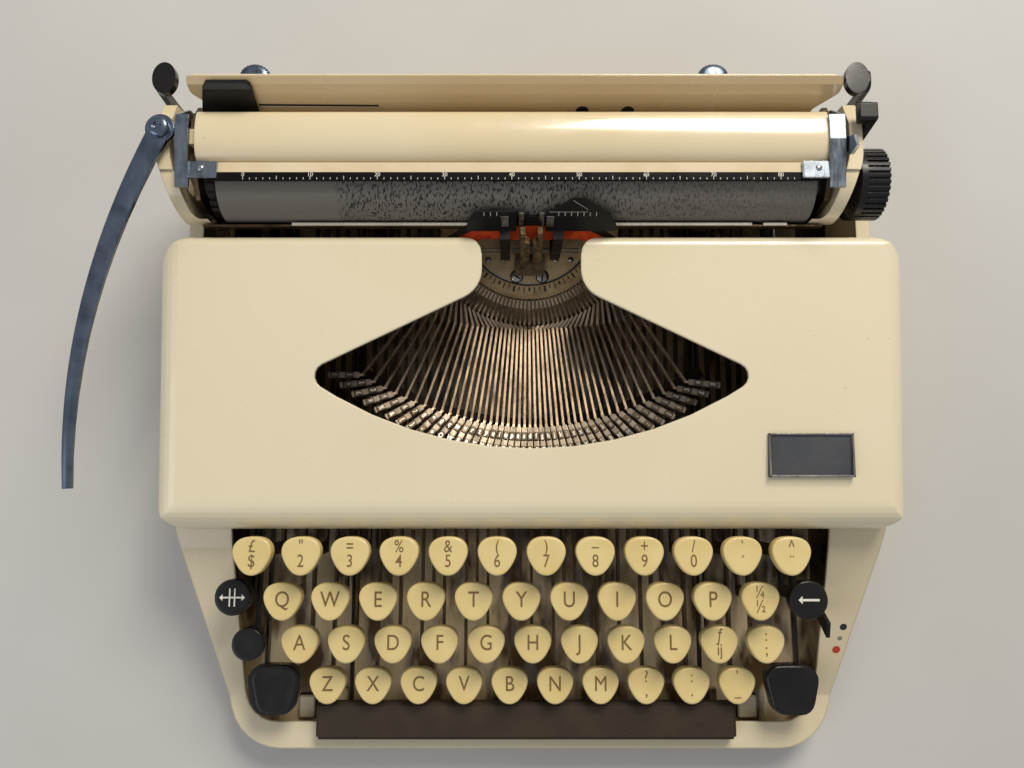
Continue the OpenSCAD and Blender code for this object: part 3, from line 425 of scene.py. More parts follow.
def block(name, corner, size, finish, body, bevel=0.3 * MM):
    """A rounded box that is placed by its lowest corner."""
    centre = [start + length / 2 for start, length in zip(corner, size)]
    piece(name, rounded_box(centre, size, bevel, 3), finish, body)


def boss(name, x, y, z, diameter, height, finish, body):
    """A low turned cap with a rounded rim."""
    bm = bmesh.new()
    profile = ((1, 0), (1, 0.6), (0.93, 0.85), (0.8, 1), (0.4, 1.02), (0.34, 0.7), (0.1, 0.7))
    loft(bm, [circle(diameter / 2 * out, z + height * up, 40, x, y) for out, up in profile])
    piece(name, bm, finish, body)


def drop(node, x, y):
    """The point and normal of a CAD node's surface straight below a place."""
    found, place, normal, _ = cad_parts[node].ray_cast(Vector((x, y, 0.5)), Vector((0, 0, -1)))
    if not found:
        raise ValueError(f"nothing of {node} lies below {x}, {y}")
    return place, normal


def stand(place, normal, turn=0.0):
    """Matrix that stands a part on a surface, turned about the surface's normal."""
    upright = normal.to_track_quat("Z", "Y").to_matrix().to_4x4()
    return Matrix.Translation(place) @ upright @ Matrix.Rotation(turn, 4, "Z")


def screw(name, place, normal, diameter, finish, body, turn, head=0.5):
    """A slotted screw whose head stands on a surface; head is its height in mm."""
    bm = bmesh.new()
    profile = ((1, -0.1), (1, head * 0.7), (0.9, head), (0.45, head * 1.08))
    loft(bm, [circle(diameter / 2 * out, up * MM, 40) for out, up in profile])
    groove = bmesh.new()
    bmesh.ops.create_cube(groove, size=1, matrix=Matrix.Translation((0, 0, head * 1.1 * MM))
                          @ Matrix.Diagonal((diameter * 0.85, diameter * 0.15, 0.06 * MM, 1)))
    pose = stand(place, normal, turn)
    piece(name, moved(bm, pose), finish, body)
    piece(name + "_groove", moved(groove, pose), black_metal, body)


def rivet(name, place, normal, diameter, finish, body):
    """A low domed rivet head, slightly sunk in its surface."""
    bm = bmesh.new()
    radius = diameter / 2
    loft(bm, [circle(radius * math.cos(turn), radius * 0.45 * math.sin(turn) - 0.05 * MM, 24)
              for turn in (0, 0.4, 0.8, 1.2, 1.5)])
    piece(name, moved(bm, stand(place, normal)), finish, body)


def legend(text, x, y, size, height, bold, squeeze):
    """A generic sign as a flat mesh; height gives Z for a point of the sign."""
    curve = bpy.data.curves.new("legend", "FONT")
    curve.body = text
    curve.size = size
    curve.align_x = "CENTER"
    curve.align_y = "CENTER"
    curve.space_line = 0.82
    curve.offset = bold
    writing = bpy.data.objects.new("legend", curve)
    bpy.context.collection.objects.link(writing)
    bpy.context.view_layer.update()
    mesh = bpy.data.meshes.new_from_object(writing.evaluated_get(bpy.context.evaluated_depsgraph_get()))
    bpy.data.objects.remove(writing)
    bm = bmesh.new()
    bm.from_mesh(mesh)
    bpy.data.meshes.remove(mesh)
    for vert in bm.verts:
        vert.co = Vector((x + vert.co.x * squeeze, y + vert.co.y, height(vert.co.x, vert.co.y)))
    return bm


# ------------------------------------------------------------------ keycaps

PITCH = 19 * MM
CAP_W = 15 * MM
CAP_H = 5 * MM
CAP_RIM = 0.8 * MM
CAP_FOOT = 0.3 * MM
DISH = 0.3 * MM
# how far a cap stands out from the plain one that it covers
SKIN = 0.12 * MM
# mean radius as a share of the width, and how far the corners of an outline rise from it
MEAN_RADIUS = 0.488
TRIANGLE = 0.07
ROUND = 0.01
ROUND_STEPS = [math.pi / 2 * step / 6 for step in range(7)]
ROWS = {
    "number_row_keys": ("number_row", ["£\n$", "\"\n2", "=\n3", "%\n4", "&\n5", "(\n6", ")\n7", "–\n8",
                                       "+\n9", "/\n0", "`\n´", "^\n¨"]),
    "upper_row_keys": ("upper_row", ["Q", "W", "E", "R", "T", "Y", "U", "I", "O", "P", "¼\n½"]),
    "lower_row_keys": ("lower_row", ["Z", "X", "C", "V", "B", "N", "M", "?\n,", ":\n.", "'\n_"]),
}
HOME_LETTERS = ["A", "S", "D", "F", "G", "H", "J", "K", "L", "ƒ\nij", ":\n;"]


def cap_radius(width, angle, corners):
    """Polar outline of a keycap: a round that rises to three corners, one towards the typist."""
    return width * MEAN_RADIUS * (1 + corners * math.cos(3 * (angle + math.pi / 2)))


def cap_ring(x, y, z, width, corners, inset=0.0):
    """One level outline of a keycap."""
    points = []
    for i in range(48):
        angle = 2 * math.pi * i / 48
        radius = cap_radius(width, angle, corners) - inset
        points.append((x + radius * math.cos(angle), y + radius * math.sin(angle), z))
    return points


def keycap(bm, x, y, top, width=CAP_W, corners=TRIANGLE, dish=DISH):
    """Adds a cap with rounded edges and a dished top, its rim at height top."""
    foot = top - CAP_H - SKIN
    full = width + 2 * SKIN
    rings = [cap_ring(x, y, foot, full, corners, CAP_FOOT), cap_ring(x, y, foot + CAP_FOOT, full, corners)]
    for turn in ROUND_STEPS:
        rings.append(cap_ring(x, y, top - CAP_RIM * (1 - math.sin(turn)), full, corners,
                              CAP_RIM * (1 - math.cos(turn))))
    for share in (0.8, 0.55, 0.3, 0.08):
        rings.append(cap_ring(x, y, top - dish * (1 - share * share), full * share - CAP_RIM, corners))
    loft(bm, rings)


def cap_surface(top):
    """Height just above the dished cap top at a point beside the cap's middle."""
    def height(across, along):
        share = min(1.0, math.hypot(across, along) / (CAP_W * 0.42))
        return top - DISH * (1 - share * share) + 0.04 * MM
    return height


def cap_legend(text, x, y, top):
    """The one sign of a letter key or the two signs of any other."""
    size, squeeze, up = (6.8, 0.8, 0.3) if "\n" in text else (8.8, 0.84, 0.1)
    # a heavier stroke would close the notches of the M
    stroke = 0.01 if text == "M" else 0.03
    return legend(text, x, y + up * MM, size * MM, cap_surface(top), stroke * MM, squeeze)


def lettered_caps(node, body, letters):
    """Caps and legends over the levers of one row node."""
    low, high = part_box(node)
    y = low.y + cap_radius(CAP_W, -math.pi / 2, TRIANGLE)
    top = high.z + SKIN
    first = low.x + (high.x - low.x - PITCH * (len(letters) - 1)) / 2
    caps = bmesh.new()
    signs = []
    for number, text in enumerate(letters):
        x = first + PITCH * number
        keycap(caps, x, y, top)
        signs.append(cap_legend(text, x, y, top))
    piece(node + "_caps", caps, cap_cream, body)
    piece(node + "_legends", join(signs), ink_brown, body)


for node, (body, letters) in ROWS.items():
    lettered_caps(node, body, letters)
for key, letter in zip(HOME_KEYS, HOME_LETTERS):
    lettered_caps(key, key, [letter])


# ------------------------------------------------------------------ black keys

def black_cap(node, body, x, y, diameter):
    """A flat-topped round cap over a function key; gives the height for its sign."""
    bm = bmesh.new()
    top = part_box(node)[1].z + SKIN
    keycap(bm, x, y, top, diameter * 1.03, ROUND, 0)
    piece(node + "_cap", bm, black_gloss, body)
    return top + 0.05 * MM


def arrow(x, y, length, head, half_shaft):
    """Outline of an arrow to the left with its tip at x, y."""
    neck = x + head
    end = x + length
    return [(x, y), (neck, y + head), (neck, y + half_shaft), (end, y + half_shaft),
            (end, y - half_shaft), (neck, y - half_shaft), (neck, y - head)]


def margin_release_cap():
    """Cap with two arrows that point away from two upright bars."""
    diameter = 14 * MM
    low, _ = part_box("margin_release_key")
    x = low.x + diameter / 2
    y = low.y + diameter / 2
    z = black_cap("margin_release_key", "margin_release", x, y, diameter)
    sign = bmesh.new()
    for side in (-1, 1):
        pointer = arrow(-5.1 * MM, 0, 5.1 * MM, 1.3 * MM, 0.3 * MM)
        flat_shape(sign, [(x + side * across, y + along) for across, along in pointer], z)
        bar = x + side * MM
        flat_shape(sign, rectangle(bar - 0.27 * MM, y - 3.5 * MM, bar + 0.27 * MM, y + 3.5 * MM),
                   z + 0.01 * MM)
    piece("margin_release_sign", sign, ink_white, "margin_release")


def shift_lock_cap():
    diameter = 13 * MM
    low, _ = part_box("shift_lock_key")
    black_cap("shift_lock_key", "shift_lock", low.x + diameter / 2, low.y + diameter / 2, diameter)


def backspace_cap():
    """Cap with one arrow to the left."""
    diameter = 15 * MM
    low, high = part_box("backspace_key")
    x = high.x - diameter / 2
    y = low.y + diameter / 2
    z = black_cap("backspace_key", "backspace", x, y, diameter)
    sign = bmesh.new()
    flat_shape(sign, arrow(x - 4.2 * MM, y, 8.4 * MM, 1.6 * MM, 0.45 * MM), z)
    piece("backspace_sign", sign, ink_white, "backspace")


def rounded_ring(corners, radius, inset, z):
    """Outline of a convex polygon with rounded corners, moved in by an inset."""
    ring = []
    count = len(corners)
    for i, corner in enumerate(corners):
        here = Vector(corner)
        to_next = (Vector(corners[(i + 1) % count]) - here).normalized()
        to_last = (Vector(corners[i - 1]) - here).normalized()
        half = to_next.angle(to_last) / 2
        centre = here + (to_next + to_last).normalized() * radius / math.sin(half)
        start = math.atan2(to_last.x, -to_last.y)
        for step in range(9):
            angle = start + (math.pi - 2 * half) * step / 8
            ring.append((centre.x + (radius - inset) * math.cos(angle),
                         centre.y + (radius - inset) * math.sin(angle), z))
    return ring


def shift_cap(name, x, y, top):
    """Large shift key top: wider at the rear, with a rounded rim and a slightly sunken face."""
    front, rear = y - 11.2 * MM, y + 9.2 * MM
    front_half, rear_half = 7.2 * MM, 11.7 * MM
    corners = [(x - front_half, front), (x + front_half, front),
               (x + rear_half, rear), (x - rear_half, rear)]
    rim = 1.3 * MM
    levels = [(0, -6 * MM)]
    levels += [(rim * (1 - math.cos(turn)), rim * (math.sin(turn) - 1)) for turn in ROUND_STEPS]
    levels += [(rim + 0.9 * MM, -0.12 * MM), (rim + 3.5 * MM, -0.2 * MM)]
    bm = bmesh.new()
    loft(bm, [rounded_ring(corners, 6.1 * MM, inset, top + rise) for inset, rise in levels])
    piece(name, bm, black_gloss, "shift")


margin_release_cap()
shift_lock_cap()
shift_low, shift_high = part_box("shift_keys")
for word, x in (("left", shift_low.x + 11.5 * MM), ("right", shift_high.x - 11.5 * MM)):
    shift_cap(f"shift_cap_{word}", x, shift_low.y + 11 * MM, shift_high.z + 0.3 * MM)
backspace_cap()


# ------------------------------------------------------------------ type basket

# centre of the segment's arcs, in mm behind the origin and above the floor, and its lean
SEGMENT_Y = 87.2
SEGMENT_Z = 35
SEGMENT_LEAN = math.radians(14.5)
basket = (Matrix.Translation((middle, SEGMENT_Y * MM, SEGMENT_Z * MM))
          @ Matrix.Rotation(SEGMENT_LEAN, 4, "X"))
PLATE_R = 29.0
PLATE_SPAN = 66


def basket_arc(name, inner, outer, low, high, finish):
    """A flat ring segment round the basket's centre, towards the typist; sizes in mm."""
    section = [(inner, low), (outer, low), (outer, high), (inner, high)]
    bm = bmesh.new()
    rings = []
    for step in range(65):
        angle = math.radians(-90 - PLATE_SPAN + 2 * PLATE_SPAN * step / 64)
        rings.append([(r * MM * math.cos(angle), r * MM * math.sin(angle), z * MM) for r, z in section])
    loft(bm, rings)
    piece(name, moved(bm, basket), finish, "type_basket")


def band_engraving():
    """Strokes of two lengths and widths along the band in front of the segment plate, dark with painted
    shade.
    """
    near = PLATE_R + 1
    marks = []
    for number in range(-14, 15):
        far = near + (2.6 if number % 2 else 1.7)
        half = 0.22 if number % 3 else 0.4
        mark = bmesh.new()
        loft(mark, [[(x * MM, y * MM, z * MM) for x, y in rectangle(near, -half, far, half)]
                    for z in (3.9, 4.06)])
        marks.append(moved(mark, basket @ Matrix.Rotation(math.radians(-90 + number * 4.2), 4, "Z")))
    piece("band_engraving", join(marks), recess_shade, "type_basket")


def segment_fasteners():
    """Two screws in dark seats and four studs."""
    for side, word in ((-1, "left"), (1, "right")):
        place, normal = drop("segment_plate", middle + side * 5.6 * MM, plate_low.y + 3.6 * MM)
        screw(f"segment_seat_{word}", place, normal, 5.8 * MM, black_metal, "type_basket", 0, 0.16)
        screw(f"segment_screw_{word}", place, normal, 4.8 * MM, steel, "type_basket", 0.5 + side, 0.6)
        for number, reach in enumerate((11.5, 18)):
            place, normal = drop("segment_plate", middle + side * reach * MM, plate_low.y + 10.6 * MM)
            rivet(f"segment_stud_{word}_{number}", place, normal, 2.6 * MM, steel, "type_basket")


def plate_strips():
    """Two bright wires at each side of the guide, across the segment plate."""
    for word, x0, x1 in (("left", -21.5, -13.6), ("right", 11.8, 21.5)):
        for row, y in enumerate((plate_low.y + 13.4 * MM, plate_low.y + 14.8 * MM)):
            ground = drop("segment_plate", middle + (x0 + x1) / 2 * MM, y)[0].z
            block(f"plate_strip_{word}_{row}", (middle + x0 * MM, y, ground - 0.1 * MM),
                  ((x1 - x0) * MM, 0.5 * MM, 0.45 * MM), chrome, "type_basket", 0.1 * MM)


# the plate's groove is a flat dark ring of painted shade
basket_arc("plate_groove", PLATE_R - 0.35, PLATE_R + 0.35, 4.6, 5.52, recess_shade)
basket_arc("plate_rim", PLATE_R - 0.8, PLATE_R - 0.4, 5, 5.58, steel)
band_engraving()
segment_fasteners()
plate_strips()


# ------------------------------------------------------------------ type slugs

BARS = 44
MOVING_BAR = 22
# the bends of the typebars lie on a parabola; sizes in mm
BEND_REACH = 72
BEND_Y = -4
BEND_RISE = 21.7
BEND_Z = 34.6
SLUG_L = 13.4
SLUG_TILT = math.radians(14.9)
LETTER_PAIRS = "1!2\"3£4$5%6&7(8)9-0+qQwWeErRtTyYuUiIoOpPaAsSdDfFgGhHjJkKlLzZxXcCvVbBnNmM,?.:;'ij"


def slug_pose(number):
    """Matrix that stands a slug at its typebar's bend, with X along the slug."""
    share = (number - MOVING_BAR) / MOVING_BAR
    x = BEND_REACH * (0.7 * share + 0.3 * share ** 3)
    turn = math.radians(88 * x / BEND_REACH) - math.pi / 2
    y = BEND_Y + BEND_RISE * (x / BEND_REACH) ** 2
    return (Matrix.Translation((middle + x * MM, y * MM, BEND_Z * MM))
            @ Matrix.Rotation(turn, 4, "Z") @ Matrix.Rotation(-SLUG_TILT, 4, "Y"))


def slug_parts(number):
    """The head, its two raised faces and their letters."""
    wide = 2.14 + 0.5 * abs(number - MOVING_BAR) / MOVING_BAR
    head = rounded_box((8 * MM, 0, 0), (SLUG_L * MM, wide * MM, 4.3 * MM), 0.25 * MM, 2)
    faces = []
    signs = []
    for case, place in enumerate((5.6, 11.8)):
        faces.append(rounded_box((place * MM, 0, 2.35 * MM), (3.7 * MM, (wide - 0.2) * MM, 0.9 * MM),
                                 0.2 * MM, 2))
        letter = LETTER_PAIRS[(2 * number + case) % len(LETTER_PAIRS)]
        sign = legend(letter, 0, 0, 3 * MM, lambda across, along: 2.87 * MM, 0.08 * MM, 0.75)
        quarter = Matrix.Translation((place * MM, 0, 0)) @ Matrix.Rotation(math.pi / 2, 4, "Z")
        signs.append(moved(sign, quarter))
    return [moved(part, slug_pose(number)) for part in (head, join(faces), join(signs))]


def slugs(numbers, name, body):
    """The slugs of some typebars, as one piece for each of their three finishes."""
    heads, faces, letters = zip(*(slug_parts(number) for number in numbers))
    piece(name + "_heads", join(heads), slug_steel, body)
    piece(name + "_faces", join(faces), slug_dirt, body)
    piece(name + "_letters", join(letters), type_steel, body)


slugs([number for number in range(BARS) if number != MOVING_BAR], "slugs", "type_basket")
slugs([MOVING_BAR], "moving_slug", "typebar")


# ------------------------------------------------------------------ print point

platen_low, platen_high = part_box("platen")
platen_axis = (platen_low + platen_high) / 2
platen_r = (platen_high.z - platen_low.z) / 2
# how far above the platen's front the type strikes, seen from its axis
PRINT_ANGLE = math.radians(28.6)
HOLDER_FACE = 3.9


def on_paper(x, up, gap):
    """A point before the platen: across, up the print plane and out from the rubber, in mm."""
    out = platen_r + gap * MM
    rise = up * MM
    return Vector((middle + x * MM,
                   platen_axis.y - out * math.cos(PRINT_ANGLE) + rise * math.sin(PRINT_ANGLE),
                   platen_axis.z + out * math.sin(PRINT_ANGLE) + rise * math.cos(PRINT_ANGLE)))


def paper_plate(bm, corners, near, far):
    """Adds a thin plate parallel to the print plane, between two gaps from the rubber in mm."""
    loft(bm, [[on_paper(x, up, gap) for x, up in corners] for gap in (near, far)])


def holder_plates(name, outlines, thick, finish):
    """Thin plates on the front of the card holders; sizes in mm."""
    bm = bmesh.new()
    for outline in outlines:
        paper_plate(bm, outline, HOLDER_FACE, HOLDER_FACE + thick)
    piece(name, bm, finish, "casing")


def card_holder_trim():
    """Ticks and a base line, two leaf springs with folded tops, and a bent wire."""
    ticks = [rectangle(x - 0.14, 1.1, x + 0.14, 3)
             for x in (-18.4, -15.9, -13.5, 10.3, 12.8, 15.2, 17.6, 20, 22.4, 24.8)]
    springs = (-10.3, 7.1)
    holder_plates("holder_ticks", ticks + [rectangle(6.8, 3.05, 21.5, 3.22)], 0.06, ink_white)
    holder_plates("holder_springs", [rectangle(x - 1.35, -4, x + 1.35, 0.4) for x in springs], 0.5, steel)
    holder_plates("holder_spring_tops", [rectangle(x - 1.45, 0.2, x + 1.45, 1.5) for x in springs],
                  0.9, chrome)
    holder_plates("holder_wire", [[(15.4, 8.9), (21.4, 4.2), (21.6, 4.5), (15.6, 9.2)]], 0.2, chrome)


def guide_cheeks():
    """Two curved cheeks in front of the type guide's prongs; sizes in mm."""
    side_view = [(66.3, 41.5), (69.6, 41.5), (69.6, 47), (64.4, 59.4), (64, 62.5), (60.8, 64.1),
                 (60.9, 58.2), (66.3, 46)]
    cheeks = bmesh.new()
    for side in (-1, 1):
        inner, outer = side * 0.78, side * 1.7
        paper_plate(cheeks, rectangle(inner, -18, outer, -9.6), 4.8, 8.3)
        along_x(cheeks, [(y * MM, z * MM) for y, z in side_view],
                [middle + inner * MM, middle + outer * MM])
    piece("guide_cheeks", cheeks, guide_bronze, "type_basket")


# ------------------------------------------------------------------ ribbon

# the tape's top edge, the seam of its two colours and its foot, in mm: up the print plane behind
# the card holders, and above the floor under the cover
TAPE_UP = (-2, -6.6, -13.6)
TAPE_Z = (56, 51.8, 44.6)


def ribbon_run(side, word, spool_y):
    """The tape from behind a card holder down under the cover to its spool, in two colours."""
    rows = []
    for up, z in zip(TAPE_UP, TAPE_Z):
        row = [on_paper(side * x, up - fall, 1.25) for x, fall in ((12.6, 0), (20, 0.2), (24, 3))]
        row.append(Vector((middle + side * 41 * MM, 68.5 * MM, z * MM)))
        row.append(Vector((middle + side * 105 * MM, spool_y * MM, z * MM)))
        rows.append(row)
    thick = Vector((0, -0.12 * MM, 0.02 * MM))
    halves = []
    for colour, (tops, feet), finish in (("black", rows[:2], ribbon_black), ("red", rows[1:], ribbon_red)):
        bm = bmesh.new()
        loft(bm, [[top, foot, foot + thick, top + thick] for top, foot in zip(tops, feet)])
        halves.append(piece(f"ribbon_{colour}_{word}", bm, finish, "casing"))
    return halves


def two_colour_tape():
    """Cloth of the span at the print point, black above the seam."""
    cloth = tape("ribbon_cloth_span", INK_RED, 0.85)
    seam = on_paper(0, TAPE_UP[1], 1.2).z
    return cloth.tint(INK_BLACK, cloth.ramp(cloth.axis("Z"), seam - 0.1 * MM, seam + 0.1 * MM))


card_holder_trim()
guide_cheeks()
dress("ribbon_span", two_colour_tape())
runs = [ribbon_run(-1, "left", 56.8), ribbon_run(1, "right", 53.3)]
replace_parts(runs[0][0], "ribbon_runs")


# ------------------------------------------------------------------ paper table and guide

table_low, table_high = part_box("paper_table")


def on_table(x, z, lift):
    """A point off the paper table's sloping front face; across, height and lift in mm."""
    slope = 5 / 14
    return Vector((middle + x * MM, table_high.y + (-8 + (z - 80) * slope - lift) * MM, z * MM))


def table_sheet(name, corners, near, far, finish, body):
    """A flat plate along the paper table, between two lifts in mm."""
    bm = bmesh.new()
    loft(bm, [[on_table(x, z, lift) for x, z in corners] for lift in (near, far)])
    return piece(name, bm, finish, body)


def table_trim():
    """Screws, a slot with its lip and the rolled top edge of the paper table."""
    for number, x in enumerate((19.6, 37.2)):
        place, normal = drop("paper_table", middle + x * MM, table_low.y + 8 * MM)
        screw(f"table_screw_{number}", place, normal, 5 * MM, black_metal, "carriage", 0.6 - number)
    # the slot is a thin dark sheet of painted shade
    table_sheet("table_slot", [(-105, 84.1), (-59, 83.7), (-59, 84.5), (-105, 84.9)], 0, 0.08,
                recess_shade, "carriage")
    table_sheet("table_slot_lip", [(-105, 83.5), (-59, 83.2), (-59, 83.6), (-105, 84)], 0, 0.2,
                carriage_paint, "carriage")
    radius = 0.55 * MM
    turns = [2 * math.pi * i / 16 for i in range(16)]
    bead = bmesh.new()
    along_x(bead, [(table_high.y - 0.2 * MM + radius * math.cos(turn),
                    table_high.z - 0.5 * MM + radius * math.sin(turn)) for turn in turns],
            [table_low.x + 3 * MM, table_high.x - 3 * MM])
    piece("table_bead", bead, carriage_paint, "carriage")


def paper_guide():
    """Sliding guide plate with its folded top."""
    plate = [(-127.4, 82.6), (-105.6, 82.6), (-105.1, 93.6), (-105.2, 95.4), (-106.2, 96.6), (-121.2, 96.6),
             (-122, 95.8), (-123.6, 93.6)]
    fold = [(-123.4, 93.8), (-105.2, 93.8), (-105.3, 95.4), (-106.3, 96.5), (-121.2, 96.5)]
    guide = table_sheet("paper_guide_plate", plate, 0.3, 1.5, black_metal, "guide")
    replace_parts(guide, "paper_guide")
    table_sheet("paper_guide_fold", fold, 1.2, 1.8, guide_fold, "guide")


def rest_plate_skin():
    """Smooth arched skin over the paper rest plate; its outline is in mm."""
    _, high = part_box("paper_rest_plate")
    arch = [(112.25, 86.7), (111.6, 87.7), (110, 88.5), (107.4, 89.1), (104.5, 89.42), (101.5, 89.45),
            (98.6, 89.15), (96, 88.4), (94.1, 87.4), (92.9, 86.2), (92.3, 85)]
    outer = [(high.y + (y - 112) * MM, high.z + (z - 89.2) * MM) for y, z in arch]
    inner = [(y + 0.05 * MM, z - 0.35 * MM) for y, z in outer]
    skin = bmesh.new()
    along_x(skin, outer + inner[::-1], [middle + x * MM for x in (-127.5, -40, 40, 112.1)])
    piece("rest_plate_skin", skin, carriage_paint, "carriage")


table_trim()
paper_guide()
rest_plate_skin()


# ------------------------------------------------------------------ bail

CHARACTER = 2.54 * MM
bail_low, bail_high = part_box("paper_bail")
scale_low, scale_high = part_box("bail_scale")


def bail_marks():
    """A tick for each character, a longer one at each fifth and a number at each tenth."""
    first = scale_low.x + 13.1 * MM
    base = scale_low.y + 0.3 * MM
    z = scale_high.z + 0.03 * MM
    ticks = bmesh.new()
    numbers = []
    for step in range(int((scale_high.x - first) / CHARACTER) - 2):
        x = first + step * CHARACTER
        tall = (1.4 if step % 5 == 0 else 0.8) * MM
        flat_shape(ticks, rectangle(x - 0.1 * MM, base, x + 0.1 * MM, base + tall), z)
        if step % 10 == 0:
            numbers.append(legend(str(step), x, base + 1.9 * MM, 2.2 * MM, lambda across, along: z, 0, 1))
    piece("bail_ticks", join([ticks] + numbers), ink_white, "bail")


def bail_tongue():
    """Polished tongue at the right, and a rivet at each end."""
    top = scale_high.z + 0.02 * MM
    block("bail_tongue", (bail_high.x - 16 * MM, bail_low.y + 3.4 * MM, top), (11 * MM, 6.7 * MM, 1.5 * MM),
          bail_chrome, "bail")
    for word, x in (("left", bail_low.x + 9.5 * MM), ("right", bail_high.x - 10 * MM)):
        place = Vector((x, bail_low.y + 7.3 * MM, scale_high.z + 1.5 * MM))
        rivet(f"bail_rivet_{word}", place, Vector((0, 0, 1)), 2.6 * MM, chrome, "bail")


bail_marks()
bail_tongue()


# ------------------------------------------------------------------ carriage trim

LEVER_L = 137 * MM
LEVER_ANGLE = math.radians(11)
# half widths of the return lever in mm: at its pivot, at its tip, and the crown's overhang
LEVER_ROOT = 4
LEVER_TIP = 1.6
OVERHANG = 0.06
_, lever_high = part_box("return_lever")
pivot = Vector((middle - 140.1 * MM, 104 * MM))


def lip_strips():
    """Bright strip along the carriage's front lip, in three lengths, as a painted highlight line."""
    front, top = 72.65 * MM, 70.2 * MM
    for number, (x0, x1) in enumerate(((-94.7, -22), (30, 87.3), (91.6, 101.1))):
        block(f"painted_lip_highlight_{number}", (middle + x0 * MM, front, top), ((x1 - x0) * MM, 1.2 * MM, 0.6 * MM),
              highlight_strip_paint, "carriage", 0.15 * MM)


def lever_crown():
    """Crowned top of the return lever, along one bow from its pivot to its tip."""
    section = [(-1, -0.6), (-1, 0.02), (-0.82, 0.3), (-0.45, 0.5), (0, 0.56), (0.45, 0.5), (0.82, 0.3),
               (1, 0.02), (1, -0.6)]
    tip = pivot - LEVER_L * Vector((math.sin(LEVER_ANGLE), math.cos(LEVER_ANGLE)))
    bow = (pivot + tip) / 2 - Vector((19 * MM, 0))
    rings = []
    for step in range(25):
        t = step / 24
        spot = pivot * (1 - t) ** 2 + bow * 2 * t * (1 - t) + tip * t * t
        ahead = ((bow - pivot) * (1 - t) + (tip - bow) * t).normalized()
        across = Vector((-ahead.y, ahead.x))
        half = (LEVER_ROOT + (LEVER_TIP - LEVER_ROOT) * t + OVERHANG) * MM
        points = [(spot + across * half * share, rise) for share, rise in section]
        rings.append([(point.x, point.y, lever_high.z + rise * MM) for point, rise in points])
    crown = bmesh.new()
    loft(crown, rings)
    piece("return_lever_crown", crown, lever_chrome, "lever")


def margin_stop(node, body):
    """A knurled oval button in place of a margin stop's plain block."""
    low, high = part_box(node)
    centre = (low + high) / 2
    half = (high - low) / 2
    profile = ((0.96, low.z), (1, low.z + 0.4 * MM), (1, high.z - 2.4 * MM), (0.94, high.z - 1 * MM),
               (0.8, high.z - 0.3 * MM), (0.5, high.z), (0.15, high.z))
    rings = []
    for share, z in profile:
        ring = []
        for i in range(96):
            turn = 2 * math.pi * i / 96
            ridge = 1.035 if i % 4 < 2 and share > 0.9 else 1
            ring.append((centre.x + half.x * share * ridge * math.cos(turn),
                         centre.y + half.y * share * ridge * math.sin(turn), z))
        rings.append(ring)
    bm = bmesh.new()
    loft(bm, rings)
    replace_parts(piece(node + "_button", bm, blue_steel, body), node)


lip_strips()
lever_crown()
boss("return_pivot_cap", pivot.x, pivot.y, lever_high.z + 0.05 * MM, 8 * MM, 2.6 * MM, lever_chrome,
     "carriage")
margin_stop("margin_stop_left", "stop_left")
margin_stop("margin_stop_right", "stop_right")


# ------------------------------------------------------------------ casing trim

def badge_rim():
    """A raised frame round the bare badge."""
    low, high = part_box("badge_plate")
    wide = 0.7 * MM
    rails = {
        "front": (low.x, low.y, high.x, low.y + wide),
        "rear": (low.x, high.y - wide, high.x, high.y),
        "left": (low.x, low.y, low.x + wide, high.y),
        "right": (high.x - wide, low.y, high.x, high.y),
    }
    for word, (x0, y0, x1, y1) in rails.items():
        block(f"badge_rim_{word}", (x0, y0, high.z - 0.2 * MM), (x1 - x0, y1 - y0, 0.5 * MM), steel,
              "casing", 0.12 * MM)


def space_bar_cover():
    """Grained skin over the space bar, a little larger all round."""
    low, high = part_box("space_bar")
    depth, height = 14 * MM, 6.6 * MM
    side, grow = 1.6 * MM, 0.45 * MM
    block("space_bar_cover", (low.x - side, low.y - grow, high.z - height),
          (high.x - low.x + 2 * side, depth + 2 * grow, height + grow), bar_brown, "spacer", 1.1 * MM)


def rest_pads():
    """A pad at each end of the space bar, ringed by a dark border that is a painted shadow gap."""
    front, border = -130.6 * MM, 0.5 * MM
    for word, x0, x1 in (("left", -101.2, -94.4), ("right", 92, 100)):
        wide = (x1 - x0) * MM
        left = middle + x0 * MM
        foot = drop("base_shell", left + wide / 2, -126 * MM)[0].z - 0.2 * MM
        block(f"pad_{word}", (left, front, foot), (wide, 9.4 * MM, 3.4 * MM), carriage_paint, "casing",
              0.4 * MM)
        # a slightly larger dark block under each pad: painted shadow round it
        block(f"pad_shadow_{word}", (left - border, front - border, foot),
              (wide + 2 * border, 9.4 * MM + 2 * border, 1.6 * MM), recess_shade, "casing", 0.2 * MM)


def rim_mark(name, x, y, colour, diameter):
    """A painted mark for the ribbon selector on the casing's right rim."""
    place, normal = drop("base_shell", x, y)
    bm = bmesh.new()
    bmesh.ops.create_circle(bm, cap_ends=True, radius=diameter / 2, segments=32)
    piece(name, moved(bm, stand(place + normal * 0.06 * MM, normal)), Finish(name, colour, roughness=0.4),
          "casing")


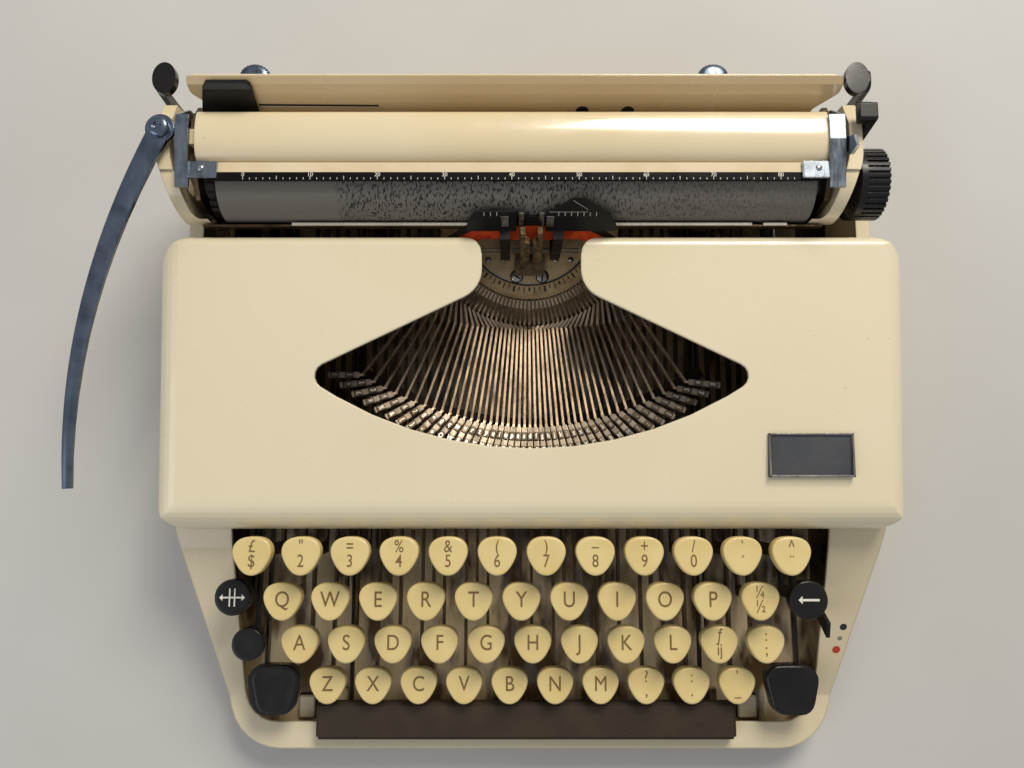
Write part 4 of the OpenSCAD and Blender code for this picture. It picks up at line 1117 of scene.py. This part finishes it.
badge_rim()
space_bar_cover()
rest_pads()
selector_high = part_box("ribbon_selector")[1]
rim_mark("mark_black", selector_high.x + 2 * MM, selector_high.y - 15 * MM, rgb(34, 36, 44), 3 * MM)
rim_mark("mark_grey", selector_high.x + 1 * MM, selector_high.y - 20 * MM, rgb(132, 126, 112), 2 * MM)
rim_mark("mark_red", selector_high.x, selector_high.y - 25 * MM, rgb(186, 58, 40), 3.4 * MM)


# ------------------------------------------------------------------ stage, camera and light

AIM = Vector((0, 0, 0.05))


def stage():
    """A plain pale floor."""
    mesh = bpy.data.meshes.new("floor")
    mesh.from_pydata([(-3, -3, 0), (3, -3, 0), (3, 3, 0), (-3, 3, 0)], [], [(0, 1, 2, 3)])
    floor = bpy.data.objects.new("floor", mesh)
    bpy.context.collection.objects.link(floor)
    ground = Finish("floor_paper", rgb(205, 203, 198), roughness=0.9)
    ground.tint(rgb(196, 193, 187), ground.ramp(ground.noise(6), 0.3, 0.7))
    mesh.materials.append(ground.material)


def camera():
    """Looks almost straight down, tilted a little to the rear."""
    data = bpy.data.cameras.new("camera")
    data.sensor_width = 36
    data.lens = 29.1
    data.clip_start = 0.01
    eye = bpy.data.objects.new("camera", data)
    shell_low, shell_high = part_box("base_shell")
    eye.location = ((shell_low.x + shell_high.x) / 2 - 7.65 * MM, -29.4 * MM, 387.6 * MM)
    eye.rotation_euler = (math.radians(7), 0, 0)
    bpy.context.collection.objects.link(eye)
    bpy.context.scene.camera = eye


def area_light(name, place, size, power, colour):
    """A soft square lamp that is aimed at the machine."""
    data = bpy.data.lights.new(name, "AREA")
    data.energy = power
    data.size = size
    data.color = colour
    lamp = bpy.data.objects.new(name, data)
    lamp.location = place
    lamp.rotation_euler = (AIM - Vector(place)).to_track_quat("-Z", "Y").to_euler()
    bpy.context.collection.objects.link(lamp)


def studio():
    """Faint, slightly cool light from all round."""
    world = bpy.data.worlds.new("studio")
    world.use_nodes = True
    background = world.node_tree.nodes["Background"]
    background.inputs["Color"].default_value = (0.9, 0.93, 1, 1)
    background.inputs["Strength"].default_value = 0.35
    bpy.context.scene.world = world


stage()
camera()
area_light("key", (0.35, 0.8, 0.95), 0.5, 12.5, (1, 0.94, 0.84))
area_light("fill", (-0.9, -0.5, 0.8), 0.9, 3, (0.92, 0.96, 1))
studio()
bpy.context.scene.view_settings.view_transform = "Standard"
